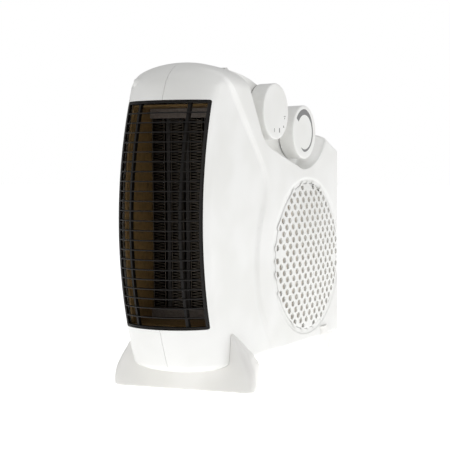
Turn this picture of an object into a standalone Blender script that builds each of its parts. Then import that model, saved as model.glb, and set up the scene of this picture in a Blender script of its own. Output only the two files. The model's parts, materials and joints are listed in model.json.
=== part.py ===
"""Upright ceramic fan heater, modelled as separate named pieces.

Metres, +Z up. The outlet faces -Y, the control knobs are on the +X side, and the origin is on the
floor under the middle of the overall box. Every piece is one closed solid.
"""
import math

import bmesh
import bpy
from mathutils import Matrix, Vector

MM = 0.001
GAP = 0.3 * MM                      # clearance between pieces that touch

# ---- overall body ----------------------------------------------------------------------------
DEPTH = 249.8 * MM                  # outlet grille's bulge to the end of the cord bush
HEIGHT = 237.5 * MM                 # floor to the roof
UNDERSIDE = 13 * MM                 # floor to the belly
REAR_HALF_WIDTH = 63.6 * MM         # centre plane to the side, at the rear wall
FRONT_HALF_WIDTH = 28.886 * MM      # the same, carried on to the most forward point
WALL = 2.4 * MM
SEAM = 0.3 * MM                     # gap between the two housing halves
FRONT_RADIUS = 205 * MM             # side-view curve of the front
FRONT_BULGE_Z = 119 * MM            # height of the most forward point
FRONT_ROUND = 24 * MM               # how far back the front rounds into the sides
ROOF_ROUND = 24 * MM
REAR_ROUND = 5.5 * MM
BELLY_ROUND = 8 * MM
ROOF_SLOPE = 0.47                   # fall of the roof toward the rear
ROOF_SLOPE_START = 102 * MM         # the fall is centred this far ahead of the rear wall
ROOF_SLOPE_BLEND = 14 * MM
ROOF_TAIL = 0.02 / MM               # extra curve down over the last stretch of roof
ROOF_TAIL_LENGTH = 35 * MM

# ---- raised side panel -----------------------------------------------------------------------
PANEL_RISE = 1.6 * MM
PANEL_RADIUS = 87 * MM
PANEL_RAMP = 6 * MM

# ---- inlet grille, domed and round -----------------------------------------------------------
INLET_RADIUS = 59 * MM
INLET_FROM_REAR = 65 * MM           # grille centre to the rear wall
INLET_Z = 88 * MM
INLET_DOME = 2.9 * MM
INLET_THICKNESS = 2 * MM
HOLE_STEP = 5.1 * MM                # half the pitch of one row of holes
HOLE_RADIUS = 2.4 * MM
HOLE_FIELD = 11.2                   # radius of the field of holes, in hole steps

# ---- outlet ----------------------------------------------------------------------------------
OUTLET_HALF_WIDTH = 32 * MM
OUTLET_LOW = 47 * MM
OUTLET_HIGH = HEIGHT - 30 * MM
GRILLE_CLEARANCE = 0.5 * MM
GRILLE_INSET = 1.2 * MM             # grille face behind the housing's surface
GRILLE_DEPTH = 3.2 * MM
GRILLE_BORDER = 1.6 * MM
BAR_COUNT = 22
BAR_HEIGHT = 1.2 * MM
RIB_WIDTH = 1.4 * MM
RIB_X = 19 * MM

# ---- knobs and their pocket ------------------------------------------------------------------
KNOB_RADIUS = 21.5 * MM
KNOB_DEPTH = 13 * MM
KNOB_WALL = 2 * MM
POWER_KNOB_AHEAD = 55 * MM          # ahead of the grille centre
POWER_KNOB_Z = HEIGHT - 34.2 * MM
THERMO_KNOB_AHEAD = 4.2 * MM
THERMO_KNOB_Z = HEIGHT - 49.2 * MM
POCKET_DEPTH = 14.2 * MM
POCKET_MARGIN = 8 * MM              # pocket edge outside the knob's rim
POCKET_DISH = 1.36                  # how much wider the pocket runs behind the rear knob
SHAFT_RADIUS = 2.5 * MM

# ---- feet ------------------------------------------------------------------------------------
FRONT_FOOT_SETBACK = 52 * MM        # front face behind the body's most forward point
FRONT_FOOT_LENGTH = 50 * MM
FRONT_FOOT_HALF_WIDTH = 56 * MM
FRONT_FIN_HEIGHT = 41 * MM
REAR_FOOT_BEHIND = 63.5 * MM        # rear face behind the grille centre
REAR_FOOT_LENGTH = 42 * MM
REAR_FOOT_HALF_WIDTH = 60 * MM
REAR_FIN_HEIGHT = 27 * MM

# ---- heater and blower -----------------------------------------------------------------------
DUCT_HALF_WIDTH = 29.6 * MM
DUCT_WALL = 1.4 * MM
DUCT_BACK_SETBACK = 84 * MM         # duct's rear edge behind the body's most forward point
ELEMENT_SETBACK = 64 * MM           # the same for the element's face
ELEMENT_DEPTH = 12 * MM
FIN_COLUMNS = 4
FIN_WIDTH = 10.6 * MM
FIN_FOLD = 1.2 * MM                 # foil thickness measured across a fold
FIN_PITCH = 7 * MM
CERAMIC_WIDTH = 2.8 * MM
HOLDER_HEIGHT = 7 * MM
WHEEL_RADIUS = 42 * MM
WHEEL_WIDTH = 20 * MM
BLADE_COUNT = 20
SCROLL_RADIUS = 55 * MM
SCROLL_HALF_WIDTH = 25 * MM
SCROLL_WALL = 1.6 * MM
AXLE_RADIUS = 2 * MM
CORD_BUSH_OUT = 4 * MM              # how far the empty cord bush stands out of the rear wall

REAR_Y = DEPTH / 2 - CORD_BUSH_OUT
FRONT_Y = -DEPTH / 2 - GRILLE_INSET # most forward point of the body's form
AXLE_Y = REAR_Y - INLET_FROM_REAR   # the grille's centre and the blower's axle
TAPER = (REAR_HALF_WIDTH - FRONT_HALF_WIDTH) / (REAR_Y - FRONT_Y)
SIDE_ANGLE = math.atan(TAPER)       # each side narrows toward the front
OUT = Vector((math.cos(SIDE_ANGLE), -math.sin(SIDE_ANGLE), 0))   # outward normal of the right side
ALONG = Vector((math.sin(SIDE_ANGLE), math.cos(SIDE_ANGLE), 0))  # rearward along the right side


# ---- small helpers ---------------------------------------------------------------------------
def clear_scene():
    for ob in list(bpy.data.objects):
        bpy.data.objects.remove(ob, do_unlink=True)


def smooth(t):
    t = min(max(t, 0.0), 1.0)
    return t * t * (3 - 2 * t)


def softplus(t):
    return t if t > 30 else math.log1p(math.exp(t))


def steps(low, high, count):
    return [low + (high - low) * i / count for i in range(count + 1)]


MATERIALS = {}


def material(name, colour, roughness, metallic=0.0):
    if name not in MATERIALS:
        made = bpy.data.materials.new(name)
        made.use_nodes = True
        shader = made.node_tree.nodes["Principled BSDF"]
        shader.inputs["Base Color"].default_value = (*colour, 1)
        shader.inputs["Roughness"].default_value = roughness
        shader.inputs["Metallic"].default_value = metallic
        MATERIALS[name] = made
    return MATERIALS[name]


def white_abs():
    return material("white_abs", (0.86, 0.86, 0.85), 0.3)


def black_plastic():
    return material("black_plastic", (0.02, 0.018, 0.016), 0.45)


def dark_plastic():
    return material("dark_plastic", (0.05, 0.05, 0.05), 0.5)


def mica_board():
    return material("mica_board", (0.22, 0.15, 0.09), 0.7)


def aluminium():
    return material("aluminium", (0.75, 0.75, 0.76), 0.35, 1.0)


def steel():
    return material("steel", (0.6, 0.6, 0.6), 0.35, 1.0)


def ceramic():
    return material("ceramic", (0.35, 0.33, 0.31), 0.6)


def copper():
    return material("copper", (0.7, 0.33, 0.15), 0.4, 1.0)


def add_mesh(name, points, faces, look, origin=(0, 0, 0), smooth_angle=None):
    """Object from points and faces; points that coincide are joined."""
    seen, verts, index = {}, [], []
    origin = Vector(origin)
    for p in points:
        key = tuple(round(c / 1e-6) for c in p)
        if key not in seen:
            seen[key] = len(verts)
            verts.append(Vector(p) - origin)
        index.append(seen[key])
    kept = []
    for face in faces:
        loop = [index[i] for i in face]
        loop = [v for k, v in enumerate(loop) if v != loop[k - 1]]
        if len(set(loop)) >= 3:
            kept.append(loop)
    mesh = bpy.data.meshes.new(name)
    mesh.from_pydata(verts, [], kept)
    bm = bmesh.new()
    bm.from_mesh(mesh)
    bmesh.ops.delete(bm, geom=[v for v in bm.verts if not v.link_faces], context="VERTS")
    bmesh.ops.recalc_face_normals(bm, faces=bm.faces)
    if bm.calc_volume(signed=True) < 0:
        bmesh.ops.reverse_faces(bm, faces=bm.faces)
    bm.to_mesh(mesh)
    bm.free()
    ob = bpy.data.objects.new(name, mesh)
    ob.location = origin
    bpy.context.collection.objects.link(ob)
    mesh.materials.append(look)
    if smooth_angle:
        mesh.shade_smooth()
        mesh.set_sharp_from_angle(angle=math.radians(smooth_angle))
    return ob


def cells(name, counts, point, filled, look, wrap=False, origin=(0, 0, 0), smooth_angle=None):
    """Solid made of the filled cells of a curved lattice; point gives each lattice corner."""
    ni, nj, nk = counts
    rows = ni if wrap else ni + 1

    def corner(i, j, k):
        return ((i % rows) * (nj + 1) + j) * (nk + 1) + k

    def solid(i, j, k):
        if wrap:
            i %= ni
        return 0 <= i < ni and 0 <= j < nj and 0 <= k < nk and filled(i, j, k)

    points = [point(i, j, k) for i in range(rows) for j in range(nj + 1) for k in range(nk + 1)]
    faces = []
    for i in range(ni):
        for j in range(nj):
            for k in range(nk):
                if not solid(i, j, k):
                    continue
                c = [[[corner(i + a, j + b, k + d) for d in (0, 1)] for b in (0, 1)] for a in (0, 1)]
                if not solid(i - 1, j, k):
                    faces.append((c[0][0][0], c[0][0][1], c[0][1][1], c[0][1][0]))
                if not solid(i + 1, j, k):
                    faces.append((c[1][0][0], c[1][1][0], c[1][1][1], c[1][0][1]))
                if not solid(i, j - 1, k):
                    faces.append((c[0][0][0], c[1][0][0], c[1][0][1], c[0][0][1]))
                if not solid(i, j + 1, k):
                    faces.append((c[0][1][0], c[0][1][1], c[1][1][1], c[1][1][0]))
                if not solid(i, j, k - 1):
                    faces.append((c[0][0][0], c[0][1][0], c[1][1][0], c[1][0][0]))
                if not solid(i, j, k + 1):
                    faces.append((c[0][0][1], c[1][0][1], c[1][1][1], c[0][1][1]))
    return add_mesh(name, points, faces, look, origin, smooth_angle)


def every_cell(i, j, k):
    return True


def block(name, low, high, look):
    """Box between two corners."""
    spans = [(low[a], high[a]) for a in range(3)]
    return cells(name, (1, 1, 1), lambda i, j, k: (spans[0][i], spans[1][j], spans[2][k]),
                 every_cell, look)


def turned(name, radii, heights, filled, look, base, axis, sides=28):
    """Solid turned about an axis through base: cells between the radii and the heights."""
    axis = Vector(axis).normalized()
    base = Vector(base)
    first = axis.cross(Vector((0, 0, 1))) if abs(axis.z) < 0.9 else Vector((1, 0, 0))
    first.normalize()
    second = axis.cross(first)

    def point(i, j, k):
        a = math.tau * i / sides
        return base + axis * heights[k] + (first * math.cos(a) + second * math.sin(a)) * radii[j]

    return cells(name, (sides, len(radii) - 1, len(heights) - 1), point,
                 lambda i, j, k: filled(j, k), look, wrap=True, origin=base, smooth_angle=40)


def rod(name, radius, low, high, look, base, axis, sides=16):
    return turned(name, [0, radius], [low, high], lambda j, k: True, look, base, axis, sides)


def cutter(ob):
    ob.hide_render = True
    ob.display_type = "WIRE"
    ob.hide_set(True)
    return ob


def cut(ob, tool):
    mod = ob.modifiers.new("cut_" + tool.name, "BOOLEAN")
    mod.operation = "DIFFERENCE"
    mod.solver = "EXACT"
    mod.object = cutter(tool)


def weld(ob, tool):
    mod = ob.modifiers.new("weld_" + tool.name, "BOOLEAN")
    mod.operation = "UNION"
    mod.solver = "EXACT"
    mod.object = cutter(tool)


# ---- form of the body ------------------------------------------------------------------------
def front_y(z):
    """Side view of the front: one arc."""
    rise = min(abs(z - FRONT_BULGE_Z), FRONT_RADIUS * 0.95)
    return FRONT_Y + FRONT_RADIUS - math.sqrt(FRONT_RADIUS ** 2 - rise ** 2)


def roof_z(y):
    """Side view of the roof: level, then falling to the rear."""
    past = y - (REAR_Y - ROOF_SLOPE_START)
    fall = ROOF_SLOPE * ROOF_SLOPE_BLEND * softplus(past / ROOF_SLOPE_BLEND)
    tail = max(0.0, y - (REAR_Y - ROOF_TAIL_LENGTH))
    return HEIGHT - fall - ROOF_TAIL * tail ** 2


def side_x(y):
    return REAR_HALF_WIDTH - TAPER * (REAR_Y - y)


def rounding(y, z, inset):
    """1 on the flat of the side, falling to 0 on the centre-plane outline of the body."""
    reach = (
        (y - front_y(z) - inset, FRONT_ROUND - inset),
        (roof_z(y) - z - inset, ROOF_ROUND - inset),
        (REAR_Y - y - inset, REAR_ROUND - inset),
        (z - UNDERSIDE - inset, BELLY_ROUND - inset),
    )
    left = sum(max(0.0, 1 - distance / size) ** 2 for distance, size in reach)
    return math.sqrt(max(0.0, 1 - left))


def panel_share(y, z):
    """0 ahead of the raised panel's S-shaped edge, 1 on the panel."""
    ahead, up = y - AXLE_Y, z - INLET_Z
    disc = PANEL_RADIUS - math.hypot(ahead, up)
    upper = (ahead + 104 * MM) * 0.76 + (up - 106 * MM) * 0.651
    blend = max(0.0, 1 - abs(disc - upper) / (24 * MM)) ** 2 * 6 * MM
    return smooth((max(disc, upper) + blend) / PANEL_RAMP + 0.5)


def half_x(y, z, inset):
    """Distance of the housing's surface from the centre plane."""
    return (side_x(y) + PANEL_RISE * panel_share(y, z) - inset) * rounding(y, z, inset)


def reach_level(angle, level, inset):
    """Distance from the grille's centre, on a ray, where rounding() falls to the level."""
    dy, dz = math.cos(angle), math.sin(angle)
    low, high = 0.0, DEPTH
    for _ in range(40):
        mid = (low + high) / 2
        inside = rounding(AXLE_Y + dy * mid, INLET_Z + dz * mid, inset) > level
        low, high = (mid, high) if inside else (low, mid)
    return low


def ring_angles(count):
    """Ray angles that give the body's outline evenly spaced, corner-aware points."""
    fine = 720
    spots = []
    for i in range(fine):
        a = math.tau * i / fine
        r = reach_level(a, 0.5, 0)
        spots.append((AXLE_Y + r * math.cos(a), INLET_Z + r * math.sin(a)))
    total, run = 0.0, [0.0]
    for i in range(fine):
        p, q, s = spots[i - 1], spots[i], spots[(i + 1) % fine]
        turn = math.atan2(q[1] - p[1], q[0] - p[0]) - math.atan2(s[1] - q[1], s[0] - q[0])
        turn = abs((turn + math.pi) % math.tau - math.pi)
        total += math.dist(q, s) + turn * 45 * MM
        run.append(total)
    angles, at = [], 0
    for i in range(count):
        goal = total * i / count
        while run[at + 1] < goal:
            at += 1
        angles.append(math.tau * (at + (goal - run[at]) / (run[at + 1] - run[at])) / fine)
    return angles


RAYS = 64
LEVELS = (0.0, 0.3, 0.56, 0.77, 0.92, 0.995)
ANGLES = ring_angles(RAYS)
WIDEST_STEP = max((ANGLES[i] - ANGLES[i - 1]) % math.tau for i in range(RAYS))
INLET_HOLE_RADIUS = (INLET_RADIUS + GAP) / math.cos(WIDEST_STEP / 2)   # flats clear the grille


def half_shell(name, side, hole_radius, inner_rings):
    """One housing half: side is +1 for the right half and -1 for the left."""
    rings = len(LEVELS) + inner_rings

    def reach(i, j, inset):
        a = ANGLES[i]
        if j < len(LEVELS):
            return reach_level(a, LEVELS[j], inset)
        outer = reach_level(a, LEVELS[-1], inset)
        squash = math.hypot(math.cos(a) * math.cos(SIDE_ANGLE), math.sin(a)) if hole_radius else 1
        inner = hole_radius * squash
        share = (j - len(LEVELS) + 1) / inner_rings
        return outer + (inner - outer) * share

    def point(i, j, k):
        inset = WALL if k == 0 else 0.0
        r = reach(i, j, inset)
        y = AXLE_Y + r * math.cos(ANGLES[i])
        z = INLET_Z + r * math.sin(ANGLES[i])
        x = 0.0 if j == 0 else half_x(y, z, inset)
        return side * max(x, SEAM / 2), y, z

    return cells(name, (RAYS, rings - 1, 1), point, every_cell, white_abs(), wrap=True,
                 smooth_angle=35)


def body_blank(name, outset):
    """The whole body as one solid, a little larger, for cutting what fits around it."""
    rings = len(LEVELS) + 2

    def point(i, j, k):
        a = ANGLES[i]
        level = min(j, len(LEVELS) - 1)
        r = reach_level(a, LEVELS[level], -outset)
        r *= 1 - max(0, j - len(LEVELS) + 1) / 3
        r *= 0 if j == rings else 1
        y, z = AXLE_Y + r * math.cos(a), INLET_Z + r * math.sin(a)
        x = 0.0 if j == 0 else half_x(y, z, -outset)
        return (2 * k - 1) * x, y, z

    return cells(name, (RAYS, rings, 1), point, every_cell, white_abs(), wrap=True)


def outlet_cutter(name):
    return block(name, (-OUTLET_HALF_WIDTH, FRONT_Y - 20 * MM, OUTLET_LOW),
                 (OUTLET_HALF_WIDTH, FRONT_Y + 78 * MM, OUTLET_HIGH), white_abs())


# ---- places on the right side ----------------------------------------------------------------
def on_side(ahead, z, depth=0.0):
    """Point in the plane of the raised panel, ahead of the grille centre, sunk by depth."""
    base = Vector((side_x(AXLE_Y) + PANEL_RISE, AXLE_Y, z))
    return base - ALONG * (ahead / math.cos(SIDE_ANGLE)) - OUT * depth


POWER_FACE = on_side(POWER_KNOB_AHEAD, POWER_KNOB_Z)
THERMO_FACE = on_side(THERMO_KNOB_AHEAD, THERMO_KNOB_Z)


# ---- knob pocket -----------------------------------------------------------------------------
POCKET_TOP = HEIGHT + 25 * MM       # the pocket is open upward, so its outline ends above the roof


def pocket_outline(grow):
    """Pocket edge in the panel's plane as (ahead, z): tangent line, two knob arcs, rear line."""
    rim = KNOB_RADIUS + POCKET_MARGIN + grow
    tilt = math.atan2(POWER_KNOB_Z - THERMO_KNOB_Z, POWER_KNOB_AHEAD - THERMO_KNOB_AHEAD)
    points = []
    for a in steps(math.radians(210), 1.5 * math.pi - tilt, 5):
        points.append((POWER_KNOB_AHEAD - rim * math.cos(a), POWER_KNOB_Z + rim * math.sin(a)))
    lean = (POCKET_TOP - points[0][1]) * math.tan(math.radians(30))
    points.insert(0, (points[0][0] + lean, POCKET_TOP))
    for a in steps(1.5 * math.pi - tilt, math.tau, 10):
        widen = 1 + (POCKET_DISH - 1) * max(0.0, math.cos(a))
        points.append((THERMO_KNOB_AHEAD - rim * widen * math.cos(a), THERMO_KNOB_Z + rim * math.sin(a)))
    points.append((points[-1][0] - 10 * MM, POCKET_TOP))
    return points


def pocket_cutter():
    outline = pocket_outline(WALL / 2)

    def point(i, j, k):
        ahead, z = outline[i]
        return on_side(ahead, (z, POCKET_TOP)[j], (POCKET_DEPTH + WALL / 2, -12 * MM)[k])

    return cells("pocket_cutter", (len(outline) - 1, 1, 1), point, every_cell, white_abs())


def pocket_tub():
    """Floor and wall of the pocket, trimmed to the body's form."""
    rows = (pocket_outline(WALL), pocket_outline(0.0))

    def point(i, j, k):
        ahead, z = rows[min(j, 1)][i]
        return on_side(ahead, POCKET_TOP if j == 2 else z,
                       (POCKET_DEPTH + WALL, POCKET_DEPTH, -12 * MM)[k])

    tub = cells("pocket_tub", (len(rows[0]) - 1, 2, 2), point,
                lambda i, j, k: k == 0 or j == 0, white_abs())
    trim = tub.modifiers.new("trim", "BOOLEAN")
    trim.operation = "INTERSECT"
    trim.solver = "EXACT"
    trim.object = cutter(body_blank("pocket_trim", -0.5 * MM))
    return tub


# ---- housing ---------------------------------------------------------------------------------
CORD_Z = 34 * MM
CORD_HOLE_RADIUS = 5.2 * MM
BOSS_RADIUS = 4 * MM
SCREW_RADIUS = 1.5 * MM
SCREW_HEAD_RADIUS = 2.9 * MM
SCREW_HEAD_DEPTH = 2 * MM
SCREW_LENGTH = 22 * MM
HEAD_RECESS_X = 14 * MM             # screw heads sit this far left of the seam, in deep wells
SCREW_SPOTS = (                     # distance ahead of the grille centre, height
    (AXLE_Y - FRONT_Y - 40 * MM, HEIGHT - 16.5 * MM),
    (AXLE_Y - FRONT_Y - 43 * MM, 28 * MM),
    (-52 * MM, 24 * MM),
    (-38 * MM, HEIGHT - 59.5 * MM),
)
VENT_COUNT = 9
VENT_PITCH = 9 * MM
VENT_HEIGHT = 3 * MM
VENT_HALF_WIDTH = 33 * MM


def build_housing():
    right = half_shell("right_shell", 1, INLET_HOLE_RADIUS, 6)
    left = half_shell("left_shell", -1, 0.0, 5)
    opening = outlet_cutter("outlet_cutter")
    cord_hole = rod("cord_hole_cutter", CORD_HOLE_RADIUS, -12 * MM, 12 * MM, white_abs(),
                    (0, REAR_Y, CORD_Z), (0, 1, 0), 16)
    for shell in (right, left):
        cut(shell, opening)
        cut(shell, cord_hole)
    cut(right, pocket_cutter())
    weld(right, pocket_tub())
    for number, face in enumerate((POWER_FACE, THERMO_FACE), 1):
        cut(right, rod(f"shaft_hole_cutter_{number}", SHAFT_RADIUS + 1 * MM, -30 * MM, 5 * MM,
                       white_abs(), face, OUT, 16))
    for number, (ahead, z) in enumerate(SCREW_SPOTS, 1):
        spot = (0, AXLE_Y - ahead, z)
        rim = 1.2 * BOSS_RADIUS
        near = min(half_x(spot[1] + rim * math.cos(a), z + rim * math.sin(a), WALL * 0.6)
                   for a in steps(0, math.tau, 8))
        weld(right, turned(f"right_boss_{number}", [SCREW_RADIUS + 0.3 * MM, BOSS_RADIUS],
                           [SEAM / 2, near], lambda j, k: True, white_abs(), spot, (1, 0, 0), 12))
        weld(left, rod(f"left_boss_{number}", BOSS_RADIUS, SEAM / 2, near, white_abs(), spot,
                       (-1, 0, 0), 12))
        cut(left, turned(f"well_cutter_{number}", [0, SCREW_RADIUS + 0.3 * MM,
                                                   SCREW_HEAD_RADIUS + 0.3 * MM],
                         [-5 * MM, HEAD_RECESS_X, near + 12 * MM],
                         lambda j, k: j == 0 or k == 1, white_abs(), spot, (-1, 0, 0), 12))
        turned(f"housing_screw_{number}", [0, SCREW_RADIUS, SCREW_HEAD_RADIUS],
               [-(SCREW_LENGTH - HEAD_RECESS_X), HEAD_RECESS_X + GAP,
                HEAD_RECESS_X + GAP + SCREW_HEAD_DEPTH],
               lambda j, k: j == 0 or k == 1, steel(), spot, (-1, 0, 0), 12)
    for number in range(VENT_COUNT):
        z = INLET_Z + (number - (VENT_COUNT - 1) / 2) * VENT_PITCH
        reach = math.sqrt(max(0.2, 1 - ((z - INLET_Z) / (VENT_HALF_WIDTH * 1.35)) ** 2))
        half = VENT_HALF_WIDTH * reach
        cut(left, block(f"vent_cutter_{number + 1}",
                        (-REAR_HALF_WIDTH - 20 * MM, AXLE_Y - half, z - VENT_HEIGHT / 2),
                        (-side_x(AXLE_Y) + 25 * MM, AXLE_Y + half, z + VENT_HEIGHT / 2),
                        white_abs()))


def build_cord_gland():
    """Flanged bush where a mains lead would leave; it is empty here."""
    bore, neck, flange = 3.4 * MM, CORD_HOLE_RADIUS - GAP, CORD_HOLE_RADIUS + 2.4 * MM
    turned("cord_gland", [bore, neck, flange],
           [-WALL - 5 * MM, -WALL - GAP - 1.6 * MM, -WALL - GAP, CORD_BUSH_OUT],
           lambda j, k: j == 0 or k == 1, dark_plastic(), (0, REAR_Y, CORD_Z), (0, 1, 0), 16)


# ---- inlet grille ----------------------------------------------------------------------------
def dome_rise(u, v):
    ball = (INLET_RADIUS ** 2 + INLET_DOME ** 2) / (2 * INLET_DOME)
    return math.sqrt(ball ** 2 - min(u * u + v * v, INLET_RADIUS ** 2)) - ball + INLET_DOME


def build_inlet_grille():
    """Thin domed disc with a staggered field of holes, in the plane of the raised panel."""
    centre = Vector((side_x(AXLE_Y) + PANEL_RISE, AXLE_Y, INLET_Z))
    bm = bmesh.new()
    rim = [bm.verts.new((INLET_RADIUS * math.cos(math.tau * i / 48),
                         INLET_RADIUS * math.sin(math.tau * i / 48), 0)) for i in range(48)]
    edges = [bm.edges.new((rim[i - 1], rim[i])) for i in range(48)]
    rows = int(HOLE_FIELD)
    for row in range(-rows, rows + 1):
        for col in range(-rows, rows + 1):
            inside = math.hypot(row, col) <= HOLE_FIELD
            if (row + col) % 2 == 0 or not inside or (abs(row) == rows and col == 0):
                continue
            u, v = col * HOLE_STEP, row * HOLE_STEP
            if math.hypot(u, v) + HOLE_RADIUS > INLET_RADIUS - 1 * MM:
                continue
            loop = [bm.verts.new((u + HOLE_RADIUS * math.cos(math.tau * (i + 0.5) / 4),
                                  v + HOLE_RADIUS * math.sin(math.tau * (i + 0.5) / 4), 0))
                    for i in range(4)]
            edges += [bm.edges.new((loop[i - 1], loop[i])) for i in range(4)]
    bmesh.ops.triangle_fill(bm, use_beauty=True, use_dissolve=False, edges=edges)
    bmesh.ops.recalc_face_normals(bm, faces=bm.faces)
    if sum(face.normal.z for face in bm.faces) > 0:
        bmesh.ops.reverse_faces(bm, faces=bm.faces)
    grown = bmesh.ops.extrude_face_region(bm, geom=list(bm.faces))
    for item in grown["geom"]:
        if isinstance(item, bmesh.types.BMVert):
            item.co.z += INLET_THICKNESS
    for vert in bm.verts:
        vert.co.z += dome_rise(vert.co.x, vert.co.y) - INLET_THICKNESS
    bmesh.ops.recalc_face_normals(bm, faces=bm.faces)
    turn = Matrix((ALONG, Vector((0, 0, 1)), OUT)).transposed().to_4x4()
    if turn.determinant() < 0:
        bmesh.ops.reverse_faces(bm, faces=bm.faces)
    bmesh.ops.transform(bm, matrix=Matrix.Translation(centre) @ turn, verts=bm.verts)
    if bm.calc_volume(signed=True) < 0:
        bmesh.ops.reverse_faces(bm, faces=bm.faces)
    mesh = bpy.data.meshes.new("inlet_grille")
    bm.to_mesh(mesh)
    bm.free()
    mesh.materials.append(white_abs())
    bpy.context.collection.objects.link(bpy.data.objects.new("inlet_grille", mesh))


# ---- outlet grille ---------------------------------------------------------------------------
def outlet_surface(x, z, sunk):
    """Front surface of the body at x and z, sunk toward the rear."""
    edge_y = front_y(z) + FRONT_ROUND
    share = min(abs(x) / side_x(edge_y), 0.99)
    return front_y(z) + FRONT_ROUND * (1 - math.sqrt(1 - share ** 2)) + sunk


def bar_heights():
    low = OUTLET_LOW + GRILLE_CLEARANCE + GRILLE_BORDER
    high = OUTLET_HIGH - GRILLE_CLEARANCE - GRILLE_BORDER
    pitch = (high - low) / (BAR_COUNT + 1)
    return low, high, [low + pitch * (n + 1) for n in range(BAR_COUNT)]


def build_outlet_grille():
    """Bowed black grille: border, level bars and two upright ribs, all in one moulding."""
    low, high, bars = bar_heights()
    half = OUTLET_HALF_WIDTH - GRILLE_CLEARANCE
    xs = [-half, -half + GRILLE_BORDER, -half + 6 * MM,
          -RIB_X - RIB_WIDTH / 2, -RIB_X + RIB_WIDTH / 2, -9 * MM, 0, 9 * MM,
          RIB_X - RIB_WIDTH / 2, RIB_X + RIB_WIDTH / 2, half - 6 * MM, half - GRILLE_BORDER, half]
    solid_columns = {0, 3, 8, 11}
    zs = [low - GRILLE_BORDER, low]
    for z in bars:
        zs += [z - BAR_HEIGHT / 2, z + BAR_HEIGHT / 2]
    zs += [high, high + GRILLE_BORDER]

    def point(i, j, k):
        sunk = GRILLE_INSET + k * GRILLE_DEPTH
        return xs[i], outlet_surface(xs[i], zs[j], sunk), zs[j]

    cells("outlet_grille", (len(xs) - 1, len(zs) - 1, 1), point,
          lambda i, j, k: j % 2 == 0 or i in solid_columns, black_plastic())


# ---- feet ------------------------------------------------------------------------------------
def foot(name, levels, blank):
    """Flared foot from level outlines (z, half width, front y, rear y), cut to fit the body."""
    corner = 7 * MM
    corners = 4

    def outline(level, i):
        z, half, front, rear = levels[level]
        radius = min(corner, (rear - front) * 0.3)
        quarter, part = divmod(i, corners + 1)
        a = math.pi / 2 * part / corners + math.pi / 2 * quarter
        cx = (half - radius) * (1 if quarter in (0, 3) else -1)
        cy = (rear - radius) if quarter in (0, 1) else (front + radius)
        return cx + radius * math.cos(a), cy + radius * math.sin(a), z

    def point(i, j, k):
        x, y, z = outline(k, i)
        if j == 0:
            level = levels[k]
            return 0.0, (level[2] + level[3]) / 2, z
        return x, y, z

    made = cells(name, (4 * (corners + 1), 1, len(levels) - 1), point, every_cell, white_abs(),
                 wrap=True, smooth_angle=40)
    cut(made, blank)


def build_feet():
    blank = body_blank("body_cutter", GAP)
    front = FRONT_Y + FRONT_FOOT_SETBACK
    rear = front + FRONT_FOOT_LENGTH
    wide, tall = FRONT_FOOT_HALF_WIDTH, FRONT_FIN_HEIGHT
    profile = ((0.0, 0.985, 0.0, 0.84), (0.12, 1.0, 0.01, 0.9), (0.32, 0.985, 0.03, 1.0),
               (0.55, 0.915, 0.06, 0.72), (0.75, 0.83, 0.09, 0.46), (0.9, 0.745, 0.11, 0.3),
               (1.0, 0.68, 0.12, 0.2))
    foot("front_foot", [(tall * h, wide * w, front + FRONT_FOOT_LENGTH * a,
                         front + FRONT_FOOT_LENGTH * b) for h, w, a, b in profile], blank)
    back = AXLE_Y + REAR_FOOT_BEHIND
    wide, tall = REAR_FOOT_HALF_WIDTH, REAR_FIN_HEIGHT
    profile = ((0.0, 0.94, 0.3, 0.02), (0.15, 0.965, 0.42, 0.01), (0.5, 1.0, 0.85, 0.0),
               (0.75, 1.03, 0.98, 0.02), (1.0, 1.045, 1.0, 0.6))
    foot("rear_foot", [(tall * h, wide * w, back - REAR_FOOT_LENGTH * a,
                        back - REAR_FOOT_LENGTH * b) for h, w, a, b in profile], blank)


# ---- knobs and what they turn ----------------------------------------------------------------
def build_knob(name, face):
    """Drum with a closed face at the panel's plane and a hub for the shaft behind it."""
    bore, hub = SHAFT_RADIUS + 0.05 * MM, SHAFT_RADIUS + 3 * MM
    back, skin = -KNOB_DEPTH, -2 * MM
    edge = 0.8 * MM

    def filled(j, k):
        if k == 2:
            return j < 4
        if k == 1:
            return True
        return j in (1, 3, 4)

    turned(name, [0, bore, hub, KNOB_RADIUS - KNOB_WALL, KNOB_RADIUS - edge, KNOB_RADIUS],
           [back, skin, -edge, 0], filled, white_abs(), face, OUT, 36)


def build_rotary(name, shaft_name, face, size, look):
    """Rotary control behind the pocket floor, with a shaft that reaches into its knob."""
    floor = POCKET_DEPTH + WALL + 0.5 * MM
    base = face - OUT * floor
    up = Vector((0, 0, 1))

    def point(i, j, k):
        out = (-size[2], -size[2] * 0.25, 0)[k]
        return base + OUT * out + ALONG * (i - 0.5) * size[0] + up * (j - 0.5) * size[1]

    body = cells(name, (1, 1, 2), point, every_cell, look)
    cut(body, rod(name + "_bore_cutter", SHAFT_RADIUS + 0.3 * MM, -size[2] * 0.6, 5 * MM,
                  look, base, OUT, 16))
    rod(shaft_name, SHAFT_RADIUS, -floor - size[2] * 0.5, -2.3 * MM, steel(), face, OUT, 16)


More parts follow.
